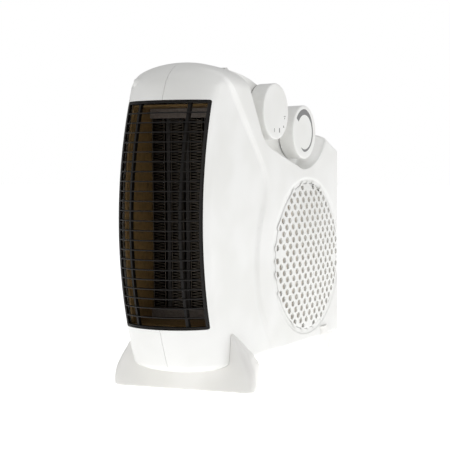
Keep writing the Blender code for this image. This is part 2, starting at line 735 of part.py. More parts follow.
def build_controls():
    build_knob("power_knob", POWER_FACE)
    build_knob("thermostat_knob", THERMO_FACE)
    build_rotary("power_switch", "switch_shaft", POWER_FACE, (24 * MM, 22 * MM, 15 * MM),
                 dark_plastic())
    build_rotary("thermostat", "thermostat_shaft", THERMO_FACE, (20 * MM, 20 * MM, 11 * MM),
                 ceramic())
    base = THERMO_FACE - OUT * (POCKET_DEPTH + WALL + 0.5 * MM + 11 * MM + GAP)

    def point(i, j, k):
        return (base - OUT * (0.8 * MM * (1 - i)) + ALONG * (j * 24 - 18) * MM
                + Vector((0, 0, (k - 0.5) * 8 * MM)))

    cells("bimetal_strip", (1, 1, 1), point, every_cell, copper())


# ---- heater ----------------------------------------------------------------------------------
DUCT_LOW = OUTLET_LOW + 1.5 * MM
DUCT_HIGH = OUTLET_HIGH - 1.5 * MM
DUCT_BACK_Y = FRONT_Y + DUCT_BACK_SETBACK


def build_duct():
    """Insulating board box that carries the element; its front edge follows the grille."""
    xs = [-DUCT_HALF_WIDTH, -DUCT_HALF_WIDTH + DUCT_WALL, DUCT_HALF_WIDTH - DUCT_WALL,
          DUCT_HALF_WIDTH]
    zs = ([DUCT_LOW] + steps(DUCT_LOW + DUCT_WALL, DUCT_HIGH - DUCT_WALL, 8) + [DUCT_HIGH])

    def point(i, j, k):
        front = outlet_surface(DUCT_HALF_WIDTH, zs[j], GRILLE_INSET + GRILLE_DEPTH + 1 * MM)
        return xs[i], (front, DUCT_BACK_Y)[k], zs[j]

    cells("heater_duct", (3, len(zs) - 1, 1), point,
          lambda i, j, k: i != 1 or j in (0, len(zs) - 2), mica_board())


def build_element():
    """Corrugated fin columns with flat ceramic heating bars between them."""
    front = FRONT_Y + ELEMENT_SETBACK
    rear = front + ELEMENT_DEPTH
    inner_low = DUCT_LOW + DUCT_WALL + GAP
    inner_high = DUCT_HIGH - DUCT_WALL - GAP
    half = DUCT_HALF_WIDTH - DUCT_WALL - GAP
    low = inner_low + HOLDER_HEIGHT + GAP
    high = inner_high - HOLDER_HEIGHT - GAP
    for name, a, b in (("lower_holder", inner_low, inner_low + HOLDER_HEIGHT),
                       ("upper_holder", inner_high - HOLDER_HEIGHT, inner_high)):
        block(name, (-half, front - 3 * MM, a), (half, rear + 2 * MM, b),
              material("holder_board", (0.33, 0.29, 0.26), 0.6))
    pitch = (2 * half - FIN_WIDTH) / (FIN_COLUMNS - 1)
    folds = 2 * round((high - low) / FIN_PITCH)
    for column in range(FIN_COLUMNS):
        left = -half + column * pitch

        def point(i, j, k, left=left):
            edge = GAP + FIN_FOLD / 2
            x = left + (edge if i % 2 == 0 else FIN_WIDTH - edge) + FIN_FOLD * (k - 0.5)
            return x, (front, rear)[j], low + (high - low) * i / folds

        cells(f"fin_column_{column + 1}", (folds, 1, 1), point, every_cell, aluminium())
        if column == FIN_COLUMNS - 1:
            break
        middle = left + FIN_WIDTH + (pitch - FIN_WIDTH) / 2
        thick = min(CERAMIC_WIDTH, pitch - FIN_WIDTH - 2 * GAP)
        block(f"ceramic_bar_{column + 1}", (middle - thick / 2, front + 1 * MM, low),
              (middle + thick / 2, rear - 1 * MM, high), ceramic())
    for number, x in enumerate((-1, 1), 1):
        block(f"terminal_{number}", (x * 9 * MM - 3 * MM, rear + 2 * MM + GAP, inner_high - 12 * MM),
              (x * 9 * MM + 3 * MM, rear + 3 * MM, inner_high - 1 * MM), steel())
    turned("thermal_cutout", [0, 4 * MM, 6 * MM], [0, 3 * MM, 5 * MM],
           lambda j, k: j == 0 or k == 0, aluminium(),
           (0, rear + 3.5 * MM, inner_low + 6.2 * MM), (0, 1, 0), 16)
    for name, z in (("lower_duct_screw", inner_low + HOLDER_HEIGHT / 2),
                    ("upper_duct_screw", inner_high - HOLDER_HEIGHT / 2)):
        turned(name, [0, 1.6 * MM, 2.6 * MM], [0, 1.4 * MM], lambda j, k: True, steel(),
               (22 * MM, front - 3 * MM - GAP, z), (0, -1, 0), 12)


# ---- blower ----------------------------------------------------------------------------------
MOTOR_X = -9 * MM                   # middle of the stator
MOTOR_THICKNESS = 12 * MM
ROTOR_RADIUS = 11 * MM
WHEEL_BACK_X = 3.2 * MM
WHEEL_DISC = 1.4 * MM
INLET_RING_X = SCROLL_HALF_WIDTH + GAP


def scroll_outline():
    """Side-view path of the blower housing: outlet mouth, belly, round back, sloping top."""
    mouth_y = DUCT_BACK_Y + 0.6 * MM
    path = [(mouth_y, z) for z in steps(DUCT_HIGH, DUCT_LOW, 4)][1:]
    path[-1] = (mouth_y, DUCT_LOW)
    for a in steps(-math.pi * 0.56, math.pi * 0.6, 14):
        path.append((AXLE_Y + SCROLL_RADIUS * math.cos(a), INLET_Z + SCROLL_RADIUS * math.sin(a)))
    path.append((mouth_y, DUCT_HIGH))
    return path


def outline_lattice(hole, inset):
    """Lattice columns from a round hole at the axle out to the scroll's outline."""
    path = scroll_outline()

    def at(i, j):
        y, z = path[i % len(path)]
        dy, dz = y - AXLE_Y, z - INLET_Z
        length = math.hypot(dy, dz)
        if j == 0:
            return AXLE_Y + dy / length * hole, INLET_Z + dz / length * hole
        back = 0.0 if j == 2 else inset
        return AXLE_Y + dy * (length - back) / length, INLET_Z + dz * (length - back) / length

    return len(path), at


def build_blower():
    count, at = outline_lattice(15 * MM, SCROLL_WALL)
    xs = [-SCROLL_HALF_WIDTH, -SCROLL_HALF_WIDTH + SCROLL_WALL, SCROLL_HALF_WIDTH]
    outlet = {0, 1, 2, count - 1}

    def filled(i, j, k):
        return k == 0 or (j == 1 and i not in outlet)

    cells("blower_scroll", (count, 2, 2), lambda i, j, k: (xs[k], *at(i, j)), filled,
          dark_plastic(), wrap=True, smooth_angle=40)
    ring_count, ring_at = outline_lattice(WHEEL_RADIUS * 0.86, SCROLL_WALL)
    ring_xs = [INLET_RING_X, INLET_RING_X + SCROLL_WALL]
    cells("scroll_cover", (ring_count, 2, 1), lambda i, j, k: (ring_xs[k], *ring_at(i, j)),
          every_cell, dark_plastic(), wrap=True, smooth_angle=40)
    base = (0, AXLE_Y, INLET_Z)
    axis = (1, 0, 0)
    turned("motor_axle", [0, AXLE_RADIUS], [-21 * MM, WHEEL_BACK_X + 9 * MM], lambda j, k: True,
           steel(), base, axis, 16)
    bore = AXLE_RADIUS + 0.05 * MM
    turned("rotor", [bore, ROTOR_RADIUS], [MOTOR_X - MOTOR_THICKNESS / 2, MOTOR_X + MOTOR_THICKNESS / 2],
           lambda j, k: True, aluminium(), base, axis, 24)
    blades = 2 * BLADE_COUNT
    radii = [bore, 7 * MM, WHEEL_RADIUS - 7 * MM, WHEEL_RADIUS]
    heights = [WHEEL_BACK_X, WHEEL_BACK_X + WHEEL_DISC, WHEEL_BACK_X + 8 * MM,
               WHEEL_BACK_X + WHEEL_WIDTH - 2 * MM, WHEEL_BACK_X + WHEEL_WIDTH]

    def wheel_point(i, j, k):
        a = math.tau * (i - 0.45 * (i % 2)) / blades
        return heights[k], AXLE_Y + radii[j] * math.cos(a), INLET_Z + radii[j] * math.sin(a)

    def wheel_filled(i, j, k):
        if j == 0:
            return k < 2
        if j == 1:
            return k == 0
        return k in (0, 3) or i % 2 == 0

    cells("blower_wheel", (blades, 3, 4), wheel_point, wheel_filled, dark_plastic(), wrap=True,
          origin=base, smooth_angle=25)
    build_motor_frame(base)


def build_motor_frame(base):
    """Laminated core with a coil on its lower leg, and a bearing bridge on each side."""
    low_x, high_x = MOTOR_X - MOTOR_THICKNESS / 2, MOTOR_X + MOTOR_THICKNESS / 2
    core = block("motor_core", (low_x, AXLE_Y - 22 * MM, INLET_Z - 36 * MM),
                 (high_x, AXLE_Y + 22 * MM, INLET_Z + 18 * MM), steel())
    cut(core, rod("rotor_bore_cutter", ROTOR_RADIUS + 0.5 * MM, -30 * MM, 20 * MM, steel(), base,
                  (1, 0, 0), 24))
    cut(core, block("core_window_cutter", (low_x - 5 * MM, AXLE_Y - 13 * MM, INLET_Z - 27 * MM),
                    (high_x + 5 * MM, AXLE_Y + 13 * MM, INLET_Z - 17 * MM), steel()))
    leg_low, leg_high = INLET_Z - 36 * MM, INLET_Z - 27 * MM
    inner = (low_x - GAP, high_x + GAP, leg_low - GAP, leg_high + GAP)
    grow = 5 * MM
    xs = [inner[0] - grow, inner[0], inner[1], inner[1] + grow]
    zs = [inner[2] - grow, inner[2], inner[3], inner[3] + grow]
    cells("motor_coil", (3, 1, 3), lambda i, j, k: (xs[i], AXLE_Y + (j * 2 - 1) * 12 * MM, zs[k]),
          lambda i, j, k: (i, k) != (1, 1), copper())
    for name, side in (("rear_bearing_bridge", -1), ("front_bearing_bridge", 1)):
        face = (low_x if side < 0 else high_x) + side * GAP
        turned_hole = AXLE_RADIUS + 0.06 * MM
        ys = [-21 * MM, -6 * MM, 6 * MM, 21 * MM]

        def point(i, j, k, face=face, side=side):
            a = math.tau * i / 24
            if j == 0:
                y, z = turned_hole * math.cos(a), turned_hole * math.sin(a)
            else:
                y = max(min(30 * MM * math.cos(a), ys[3]), ys[0])
                z = max(min(30 * MM * math.sin(a), 6 * MM), -6 * MM)
            return face + side * 2.5 * MM * k, AXLE_Y + y, INLET_Z + z

        cells(name, (24, 1, 1), point, every_cell, steel(), wrap=True)


def build():
    clear_scene()
    build_housing()
    build_cord_gland()
    build_inlet_grille()
    build_outlet_grille()
    build_feet()
    build_controls()
    build_duct()
    build_element()
    build_blower()


build()
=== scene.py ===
"""White upright ceramic fan heater: bowed outlet grille in front, round perforated inlet on the side.

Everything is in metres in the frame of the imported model: the outlet faces -Y, the knobs are on +X.
"""
import json
import math

import bmesh
import bpy
import numpy as np
from mathutils import Matrix, Vector


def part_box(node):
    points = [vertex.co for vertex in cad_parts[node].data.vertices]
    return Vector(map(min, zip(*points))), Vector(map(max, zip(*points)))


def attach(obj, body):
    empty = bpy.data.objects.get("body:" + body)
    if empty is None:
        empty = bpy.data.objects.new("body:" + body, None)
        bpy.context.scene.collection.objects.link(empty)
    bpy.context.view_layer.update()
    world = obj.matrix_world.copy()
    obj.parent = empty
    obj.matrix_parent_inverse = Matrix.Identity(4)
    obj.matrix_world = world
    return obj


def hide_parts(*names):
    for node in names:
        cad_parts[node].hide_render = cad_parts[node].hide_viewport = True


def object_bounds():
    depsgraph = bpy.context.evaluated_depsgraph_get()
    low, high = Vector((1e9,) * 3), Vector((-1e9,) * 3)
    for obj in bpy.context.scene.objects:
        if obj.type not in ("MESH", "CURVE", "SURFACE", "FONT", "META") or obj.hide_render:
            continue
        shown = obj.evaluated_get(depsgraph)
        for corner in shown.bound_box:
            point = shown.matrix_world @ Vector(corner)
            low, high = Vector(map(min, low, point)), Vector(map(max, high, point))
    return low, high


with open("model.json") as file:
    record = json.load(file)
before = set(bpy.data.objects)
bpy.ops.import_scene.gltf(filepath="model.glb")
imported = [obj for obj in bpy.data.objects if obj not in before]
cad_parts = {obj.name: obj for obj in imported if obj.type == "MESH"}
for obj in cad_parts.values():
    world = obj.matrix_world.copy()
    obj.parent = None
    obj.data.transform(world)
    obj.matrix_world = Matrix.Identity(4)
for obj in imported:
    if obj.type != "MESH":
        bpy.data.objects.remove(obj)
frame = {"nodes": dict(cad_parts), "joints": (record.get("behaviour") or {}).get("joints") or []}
cad_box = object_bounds()
MM = 0.001
TAU = math.tau

# ---- driving sizes, read from the frame ------------------------------------------------------
HEIGHT = cad_box[1].z                            # floor to roof
FRONT_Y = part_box("outlet_grille")[0].y - 1.2 * MM
REAR_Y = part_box("cord_gland")[1].y - 4 * MM      # rear wall
JOINTS = {joint["name"]: joint for joint in frame["joints"]}
AXLE = Vector(JOINTS["fan_spin"]["pos_m"])
POWER = Vector(JOINTS["power_knob_turn"]["pos_m"])
THERMO = Vector(JOINTS["thermostat_knob_turn"]["pos_m"])
OUT = Vector(JOINTS["power_knob_turn"]["axis"])          # outward from the right side
ALONG = Vector((-OUT.y, OUT.x, 0))               # rearward along the right side
UP = Vector((0, 0, 1))
TAPER = -OUT.y / OUT.x                           # each side narrows toward the front

# ---- form of the body ------------------------------------------------------------------------
REAR_HALF_WIDTH = 63.6 * MM
UNDERSIDE = 13 * MM
WALL = 2.4 * MM
SEAM = 0.24 * MM                                 # parting line between the two halves
FRONT_RADIUS = 205 * MM
FRONT_BULGE_Z = 119 * MM
ROUND = {"front": 24 * MM, "roof": 19 * MM, "rear": 5.5 * MM, "belly": 8 * MM}
FRONT_LEAST, FRONT_BLEND = 34.4 * MM, 1.2 * MM   # least half width, where the sides run out in front
ROOF_SLOPE, ROOF_START, ROOF_BLEND = 0.42, 139 * MM, 14 * MM
ROOF_REAR_ROUND = 9 * MM                         # roof edge radius behind the knobs
PANEL_RISE, PANEL_RADIUS, PANEL_RAMP = 2.1 * MM, 87 * MM, 3.6 * MM
RING_RADIUS, RING_DEPTH = 63.2 * MM, 0.55 * MM   # shallow recess round the inlet grille

INLET_RADIUS, INLET_DOME = 59 * MM, 2.9 * MM
HOLE_STEP, HOLE_RADIUS = 5.1 * MM, 2.45 * MM
HOLE_ROWS = 11

OUTLET_HALF, OUTLET_LOW = 32 * MM, 48.4 * MM
OUTLET_HIGH = HEIGHT - 29 * MM
BAR_COUNT, BAR_HEIGHT, BAR_DEPTH = 22, 0.9 * MM, 2.6 * MM
BAR_CHAMFER = 0.2 * MM
RIB_X, RIB_WIDTH = 18.7 * MM, 1.7 * MM
EDGE_WIDTH, EDGE_DEPTH, EDGE_SUNK = 1.6 * MM, 3.4 * MM, 1.2 * MM   # frame round the bars

KNOB_RADIUS, KNOB_DEPTH = 21.5 * MM, 13 * MM
POCKET_DEPTH, POCKET_MARGIN, POCKET_DISH = 14.2 * MM, 8 * MM, 1.36


# ---- materials -------------------------------------------------------------------------------
def linear(hex_colour):
    """sRGB hex colour as linear RGBA."""
    parts = [int(hex_colour[i:i + 2], 16) / 255 for i in (0, 2, 4)]
    return (*[c / 12.92 if c < 0.04045 else ((c + 0.055) / 1.055) ** 2.4 for c in parts], 1)


def add(tree, kind, links=None, **settings):
    """New node: settings name its properties or its inputs, links name the inputs fed by sockets."""
    made = tree.nodes.new(kind)
    for key, value in settings.items():
        if hasattr(made, key):
            setattr(made, key, value)
        else:
            made.inputs[key.replace("_", " ")].default_value = value
    for key, socket in (links or {}).items():
        tree.links.new(socket, made.inputs[key])
    return made


def computed(tree, operation, *values, kind="ShaderNodeMath", **settings):
    """First output of a node that calculates with sockets and plain numbers."""
    made = add(tree, kind, operation=operation, **settings)
    for place, value in enumerate(values):
        if isinstance(value, bpy.types.NodeSocket):
            tree.links.new(value, made.inputs[place])
        else:
            made.inputs[place].default_value = value
    return made.outputs[0]


def surface(name, **shader_settings):
    """Empty material: its tree, shader and object coordinates."""
    made = bpy.data.materials.new(name)
    made.use_nodes = True
    tree = made.node_tree
    shader = tree.nodes["Principled BSDF"]
    for key, value in shader_settings.items():
        shader.inputs[key.replace("_", " ")].default_value = value
    return made, tree, shader, add(tree, "ShaderNodeTexCoord").outputs["Object"]


def noise(tree, where, size, detail=3.0, roughness=0.5):
    """Noise whose blobs are about the given size across."""
    return add(tree, "ShaderNodeTexNoise", {"Vector": where}, Scale=1 / size, Detail=detail,
               Roughness=roughness).outputs["Fac"]


def ramp(tree, share, stops):
    """Eased colour ramp from (position, sRGB hex colour) pairs."""
    made = add(tree, "ShaderNodeValToRGB", {"Fac": share})
    made.color_ramp.interpolation = "EASE"
    while len(made.color_ramp.elements) < len(stops):
        made.color_ramp.elements.new(0.5)
    for element, (position, colour) in zip(made.color_ramp.elements, stops):
        element.position = position
        element.color = linear(colour)
    return made.outputs["Color"]


def spread(tree, share, low, high):
    """Share from 0 to 1 turned into a value between low and high."""
    return add(tree, "ShaderNodeMapRange", {"Value": share}, To_Min=low, To_Max=high).outputs["Result"]


def finish(tree, shader, tint, stops, grain, rough):
    """Colour by the tint's stops, and roughness by the grain, between two values."""
    tree.links.new(ramp(tree, tint, stops), shader.inputs["Base Color"])
    tree.links.new(spread(tree, grain, *rough), shader.inputs["Roughness"])


def bump(tree, shader, height, depth, strength):
    """Fine relief of the given depth."""
    made = add(tree, "ShaderNodeBump", {"Height": height}, Distance=depth, Strength=strength)
    tree.links.new(made.outputs["Normal"], shader.inputs["Normal"])


def grained(name, size, detail, uneven, stops, rough, depth, strength, **shader_settings):
    """Material whose one grain drives its colour, its roughness and its relief."""
    made, tree, shader, where = surface(name, **shader_settings)
    grain = noise(tree, where, size, detail, uneven)
    finish(tree, shader, grain, stops, grain, rough)
    if depth:
        bump(tree, shader, grain, depth, strength)
    return made


def gloss_abs(name="gloss_white_abs", pale="F6F6F4", shade="F0F0ED", roughness=0.3):
    """Injection-moulded ABS from a polished tool: bright, with a faint wave in its highlights."""
    made, tree, shader, where = surface(name, IOR=1.53, Coat_Weight=0.15, Coat_Roughness=0.12)
    cloud = noise(tree, where, 45 * MM, 2)
    grain = noise(tree, where, 1.3 * MM, 4, 0.6)
    finish(tree, shader, cloud, [(0.35, shade), (0.65, pale)], grain, (roughness - 0.05, roughness + 0.06))
    bump(tree, shader, grain, 0.025 * MM, 0.35)
    return made


def satin_abs():
    """The same ABS from a finely textured tool, as on feet: softer, a little warmer."""
    return gloss_abs("satin_white_abs", "F4F3F0", "EEEDE9", 0.42)


def black_pbt():
    """Heat-proof glass-filled PBT of the outlet grille: near black, with hardly any shine."""
    return grained("black_glass_filled_pbt", 0.8 * MM, 5, 0.65, [(0.3, "060403"), (0.7, "100B08")],
                   (0.5, 0.7), 0.03 * MM, 0.5, IOR=1.55, Specular_IOR_Level=0.25)


def mica_board():
    """Pressed mica sheet: olive-brown, with layered flakes a few millimetres across."""
    made, tree, shader, where = surface("pressed_mica_board", IOR=1.58)
    flakes = add(tree, "ShaderNodeTexVoronoi", {"Vector": where}, Scale=1 / (3.5 * MM)).outputs["Distance"]
    cloud = noise(tree, where, 12 * MM, 4)
    mixed = computed(tree, "MULTIPLY", flakes, cloud)
    finish(tree, shader, mixed, [(0.05, "7A6038"), (0.35, "8C7044"), (0.7, "604A2C")], cloud, (0.42, 0.68))
    bump(tree, shader, flakes, 0.06 * MM, 0.5)
    return made


def holder_resin():
    """Grey-brown phenolic bars that hold the element: matt, with a moulded grain."""
    return grained("grey_brown_phenolic", 1.6 * MM, 5, 0.7, [(0.3, "5B524B"), (0.7, "776D65")],
                   (0.5, 0.72), 0.05 * MM, 0.6, IOR=1.6)


def aluminium_in_painted_shade():
    """Thin foil of the fins: drawn dark as painted shade, for the shade deep inside the outlet, with fine
    lines along the sheet.
    """
    made, tree, shader, where = surface("aluminium_foil_painted_shade", Metallic=1.0)
    stretched = add(tree, "ShaderNodeMapping", {"Vector": where}, Scale=(1, 12, 1))
    lines = noise(tree, stretched.outputs["Vector"], 1.5 * MM, 5, 0.7)
    # the dark brown-grey stops are painted shade: they stand in for the shade inside the outlet duct, not
    # the foil's own colour
    finish(tree, shader, lines, [(0.3, "453E36"), (0.7, "6C645A")], lines, (0.3, 0.48))
    bump(tree, shader, lines, 0.02 * MM, 0.6)
    return made


def fired_ceramic():
    """Unglazed heating ceramic: very dark and warm, with pits the size of coarse powder."""
    return grained("fired_heating_ceramic", 0.7 * MM, 6, 0.7, [(0.3, "1B1714"), (0.7, "2C2622")],
                   (0.6, 0.85), 0.08 * MM, 0.7, IOR=1.6)


def plated_steel():
    """Zinc-plated steel: cool grey, with soft spangle patches and faint handling marks."""
    made, tree, shader, where = surface("zinc_plated_steel", Metallic=1.0)
    spangle = add(tree, "ShaderNodeTexVoronoi", {"Vector": where}, Scale=1 / (2.2 * MM))
    marks = noise(tree, where, 0.5 * MM, 5, 0.7)
    finish(tree, shader, spangle.outputs["Distance"], [(0.0, "B9BDC0"), (0.9, "D6D8D8")], marks,
           (0.22, 0.42))
    bump(tree, shader, marks, 0.02 * MM, 0.4)
    return made


def banded(tree, where, axis, width, distortion):
    """Stripes of the given width across one axis."""
    return add(tree, "ShaderNodeTexWave", {"Vector": where}, bands_direction=axis,
               Scale=1 / (10 * width), Distortion=distortion).outputs["Fac"]


def stacked_steel():
    """Motor core: half-millimetre steel sheets stacked along the axle, oily and dark."""
    made, tree, shader, where = surface("stacked_steel_sheets", Metallic=1.0)
    sheets = banded(tree, where, "X", 0.5 * MM, 0.4)
    finish(tree, shader, sheets, [(0.1, "4A4845"), (0.8, "8A8782")], sheets, (0.55, 0.38))
    bump(tree, shader, sheets, 0.08 * MM, 0.8)
    return made


def enamelled_copper():
    """Winding of lacquered wire: red-gold rows, drawn 0.8 mm wide so that they show."""
    made, tree, shader, where = surface("enamelled_copper_wire", Metallic=1.0, Coat_Weight=0.6,
                                        Coat_Roughness=0.15)
    rows = banded(tree, where, "Y", 0.8 * MM, 0.6)
    finish(tree, shader, rows, [(0.1, "6B2F16"), (0.8, "C8703A")], rows, (0.4, 0.25))
    bump(tree, shader, rows, 0.2 * MM, 0.8)
    return made


def grey_polypropylene(name="dark_polypropylene", low="1C1C1D", high="2B2B2C", roughness=0.5):
    """Dark moulded polypropylene of the blower: waxy, with cloudy flow marks."""
    made, tree, shader, where = surface(name, IOR=1.49)
    flow = noise(tree, where, 18 * MM, 4)
    grain = noise(tree, where, 1.1 * MM, 4, 0.6)
    finish(tree, shader, flow, [(0.3, low), (0.7, high)], grain, (roughness - 0.08, roughness + 0.1))
    bump(tree, shader, grain, 0.04 * MM, 0.5)
    return made


def beige_polypropylene():
    """Natural, undyed polypropylene behind the inlet holes: a milky beige."""
    return grey_polypropylene("natural_polypropylene", "CFC3B2", "DCD2C3", 0.45)


def filter_felt():
    """Thin dust filter felt behind the inlet: warm off-white, fibrous, no gloss."""
    return grained("beige_filter_felt", 0.5 * MM, 6, 0.75, [(0.3, "EADFD0"), (0.7, "F8F1E7")],
                   (0.85, 1.0), 0.2 * MM, 0.8, IOR=1.4)


def soft_pvc():
    """Soft PVC of the cord bush: off-white, rubbery, very matt."""
    return grey_polypropylene("soft_white_pvc", "DEDDD9", "E8E7E4", 0.68)


def brown_bakelite():
    """Switch and thermostat bodies of pressed bakelite: deep brown with a dull gloss."""
    return grey_polypropylene("brown_bakelite", "241610", "3A241A", 0.38)


def printed_ink(name, low, high):
    """Pad-printed ink on the knobs: flat grey with a slightly uneven film."""
    return grained(name, 0.6 * MM, 4, 0.7, [(0.3, low), (0.7, high)], (0.45, 0.6), 0, 0, IOR=1.5)


def backdrop_paper():
    """Plain pale sweep under the heater, which glows a little so that it stays near white."""
    return grained("pale_backdrop_paper", 2 * MM, 3, 0.5, [(0.3, "FCFCFC"), (0.7, "FFFFFF")], (0.8, 0.9),
                   0, 0, IOR=1.4, Emission_Color=(1, 1, 1, 1), Emission_Strength=0.66)


WHITE = gloss_abs()
FOOT_WHITE = satin_abs()
BLACK = black_pbt()
MICA = mica_board()
RESIN = holder_resin()
FOIL = aluminium_in_painted_shade()
CERAMIC = fired_ceramic()
STEEL = plated_steel()
CORE = stacked_steel()
COPPER = enamelled_copper()
DARK = grey_polypropylene()
BEIGE = beige_polypropylene()
FELT = filter_felt()
PVC = soft_pvc()
BAKELITE = brown_bakelite()
INK = printed_ink("grey_knob_ink", "7C7C7C", "868686")
DARK_INK = printed_ink("dark_knob_ink", "5A5A5A", "666666")


# ---- mesh helpers ----------------------------------------------------------------------------
def plain_mesh(name, bm, look=None):
    mesh = bpy.data.meshes.new(name)
    bm.to_mesh(mesh)
    bm.free()
    if look:
        mesh.materials.append(look)
    return mesh


def linked(name, data):
    """New object in the scene with the mesh, lamp or camera data."""
    ob = bpy.data.objects.new(name, data)
    bpy.context.scene.collection.objects.link(ob)
    return ob


def plain_result(ob):
    """Replaces an object's mesh by what its modifiers make of it, and removes them."""
    plain = bpy.data.meshes.new_from_object(
        ob.evaluated_get(bpy.context.evaluated_depsgraph_get()))
    ob.modifiers.clear()
    ob.data = plain


def shade(ob, angle):
    """Smooth shading, with edges sharper than the angle kept crisp."""
    ob.data.shade_smooth()
    ob.data.set_sharp_from_angle(angle=math.radians(angle))
    return ob


def circle(radius, count):
    return [(radius * math.cos(TAU * i / count), radius * math.sin(TAU * i / count)) for i in range(count)]


def placed(piece, body, node=None):
    """Puts a finished piece on its body, in place of a node of the frame where one is named."""
    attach(piece, body)
    if node:
        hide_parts(node)


def object_of(name, bm, look, smooth_angle=None, merge=2e-6):
    """Closed, outward-facing mesh object from a bmesh."""
    bmesh.ops.remove_doubles(bm, verts=bm.verts, dist=merge)
    bmesh.ops.dissolve_degenerate(bm, edges=bm.edges, dist=merge)
    bmesh.ops.recalc_face_normals(bm, faces=bm.faces)
    if bm.calc_volume(signed=True) < 0:
        bmesh.ops.reverse_faces(bm, faces=bm.faces)
    ob = linked(name, plain_mesh(name, bm, look))
    return shade(ob, smooth_angle) if smooth_angle else ob


def walled(name, outer, inner, look, wrap=False, smooth_angle=30, merge=2e-6):
    """Closed wall between two grids of points of the same shape, joined round their borders."""
    ni, nj = outer.shape[:2]
    bm = bmesh.new()
    grids = [[[bm.verts.new(p) for p in row] for row in grid] for grid in (outer, inner)]
    last = ni if wrap else ni - 1
    for i in range(last):
        a, b = i, (i + 1) % ni
        for j in range(nj - 1):
            for skin, turn in ((0, 1), (1, -1)):
                g = grids[skin]
                loop = [g[a][j], g[b][j], g[b][j + 1], g[a][j + 1]]
                bm.faces.new(loop[::turn])
        for j, turn in ((0, -1), (nj - 1, 1)):
            o, n = grids
            bm.faces.new([o[a][j], o[b][j], n[b][j], n[a][j]][::turn])
    if not wrap:
        for i, turn in ((0, 1), (ni - 1, -1)):
            o, n = grids
            for j in range(nj - 1):
                bm.faces.new([o[i][j], o[i][j + 1], n[i][j + 1], n[i][j]][::turn])
    return object_of(name, bm, look, smooth_angle, merge)


def turned(name, profile, look, base, axis, sides=96, smooth_angle=30):
    """Solid of revolution from (radius, height) points that start and end on the axis."""
    axis = Vector(axis).normalized()
    first = axis.cross(UP).normalized()
    second = axis.cross(first)
    bm = bmesh.new()
    rings = []
    for i in range(sides):
        a = TAU * i / sides
        side = first * math.cos(a) + second * math.sin(a)
        rings.append([bm.verts.new(Vector(base) + axis * h + side * r) for r, h in profile])
    for i in range(sides):
        p, q = rings[i - 1], rings[i]
        for k in range(len(profile) - 1):
            bm.faces.new([p[k], q[k], q[k + 1], p[k + 1]])
    return object_of(name, bm, look, smooth_angle)


def prism(outline, low, high, place):
    """Closed prism as a bmesh: outline points (u, v) from low to high, set by place(u, v, w)."""
    bm = bmesh.new()
    ends = [[bm.verts.new(place(u, v, w)) for u, v in outline] for w in (low, high)]
    count = len(outline)
    for i in range(count):
        bm.faces.new([ends[0][i - 1], ends[0][i], ends[1][i], ends[1][i - 1]])
    bm.faces.new(ends[0][::-1])
    bm.faces.new(ends[1])
    return bm


def rounded_rectangle(u0, v0, u1, v1, radius, steps=6):
    points = []
    for corner, (u, v) in enumerate(((u1 - radius, v1 - radius), (u0 + radius, v1 - radius),
                                     (u0 + radius, v0 + radius), (u1 - radius, v0 + radius))):
        for k in range(steps + 1):
            a = math.pi / 2 * (corner + k / steps)
            points.append((u + radius * math.cos(a), v + radius * math.sin(a)))
    return points


def joined(name, objects):
    """Several objects made one."""
    bm = bmesh.new()
    for ob in objects:
        bm.from_mesh(ob.data)
    mesh = plain_mesh(name, bm, objects[0].data.materials[0])
    for ob in objects:
        bpy.data.objects.remove(ob)
    return linked(name, mesh)


def carve(ob, cutters, smooth_angle=30):
    """Cuts closed shapes out of a piece, and makes the result its plain mesh."""
    tool = joined("tool", cutters)
    mod = ob.modifiers.new("carve", "BOOLEAN")
    mod.operation = "DIFFERENCE"
    mod.solver = "EXACT"
    mod.object = tool
    plain_result(ob)
    bpy.data.objects.remove(tool)
    return shade(ob, smooth_angle)


# ---- form of the body as arrays --------------------------------------------------------------
def ease(t):
    t = np.clip(t, 0, 1)
    return t * t * (3 - 2 * t)


def front_y(z):
    rise = np.minimum(np.abs(z - FRONT_BULGE_Z), FRONT_RADIUS * 0.95)
    return FRONT_Y + FRONT_RADIUS - np.sqrt(FRONT_RADIUS ** 2 - rise ** 2)


def roof_z(y):
    past = (y - (REAR_Y - ROOF_START)) / ROOF_BLEND
    return HEIGHT - ROOF_SLOPE * ROOF_BLEND * np.logaddexp(0, past)


def roof_round(y):
    """Radius of the roof's long edges: wide in front, tight behind the knobs."""
    share = ease((y - AXLE.y + 20 * MM) / (40 * MM))
    return ROUND["roof"] + (ROOF_REAR_ROUND - ROUND["roof"]) * share


def side_x(y):
    """Half width: straight taper that eases into a least width at the front."""
    line = REAR_HALF_WIDTH - TAPER * (REAR_Y - y)
    return FRONT_LEAST + FRONT_BLEND * np.logaddexp(0, (line - FRONT_LEAST) / FRONT_BLEND)


def rounding(y, z, inset):
    """1 on the flat of the side, falling to 0 on the centre-plane outline."""
    reach = ((y - front_y(z), ROUND["front"]), (roof_z(y) - z, roof_round(y)),
             (REAR_Y - y, ROUND["rear"]), (z - UNDERSIDE, ROUND["belly"]))
    left = sum(np.maximum(0, 1 - (d - inset) / (size - inset)) ** 2 for d, size in reach)
    return np.sqrt(np.maximum(0, 1 - left))


def panel_share(y, z):
    """0 ahead of the raised panel's S-shaped edge, 1 on the panel."""
    ahead, up = y - AXLE.y, z - AXLE.z
    disc = PANEL_RADIUS - np.hypot(ahead, up)
    upper = (ahead + 104 * MM) * 0.76 + (up - 106 * MM) * 0.651
    blend = np.maximum(0, 1 - np.abs(disc - upper) / (24 * MM)) ** 2 * 6 * MM
    return ease((np.maximum(disc, upper) + blend) / PANEL_RAMP + 0.5)


def half_x(y, z, inset=0.0, ring=False):
    """Distance of the housing's surface from the centre plane."""
    flat = side_x(y) + PANEL_RISE * panel_share(y, z) - inset
    if ring:
        away = np.hypot((y - AXLE.y) / OUT.x, z - AXLE.z)
        flat = flat - RING_DEPTH * ease((RING_RADIUS - away) / (1.4 * MM) + 0.5)
    return flat * rounding(y, z, inset)


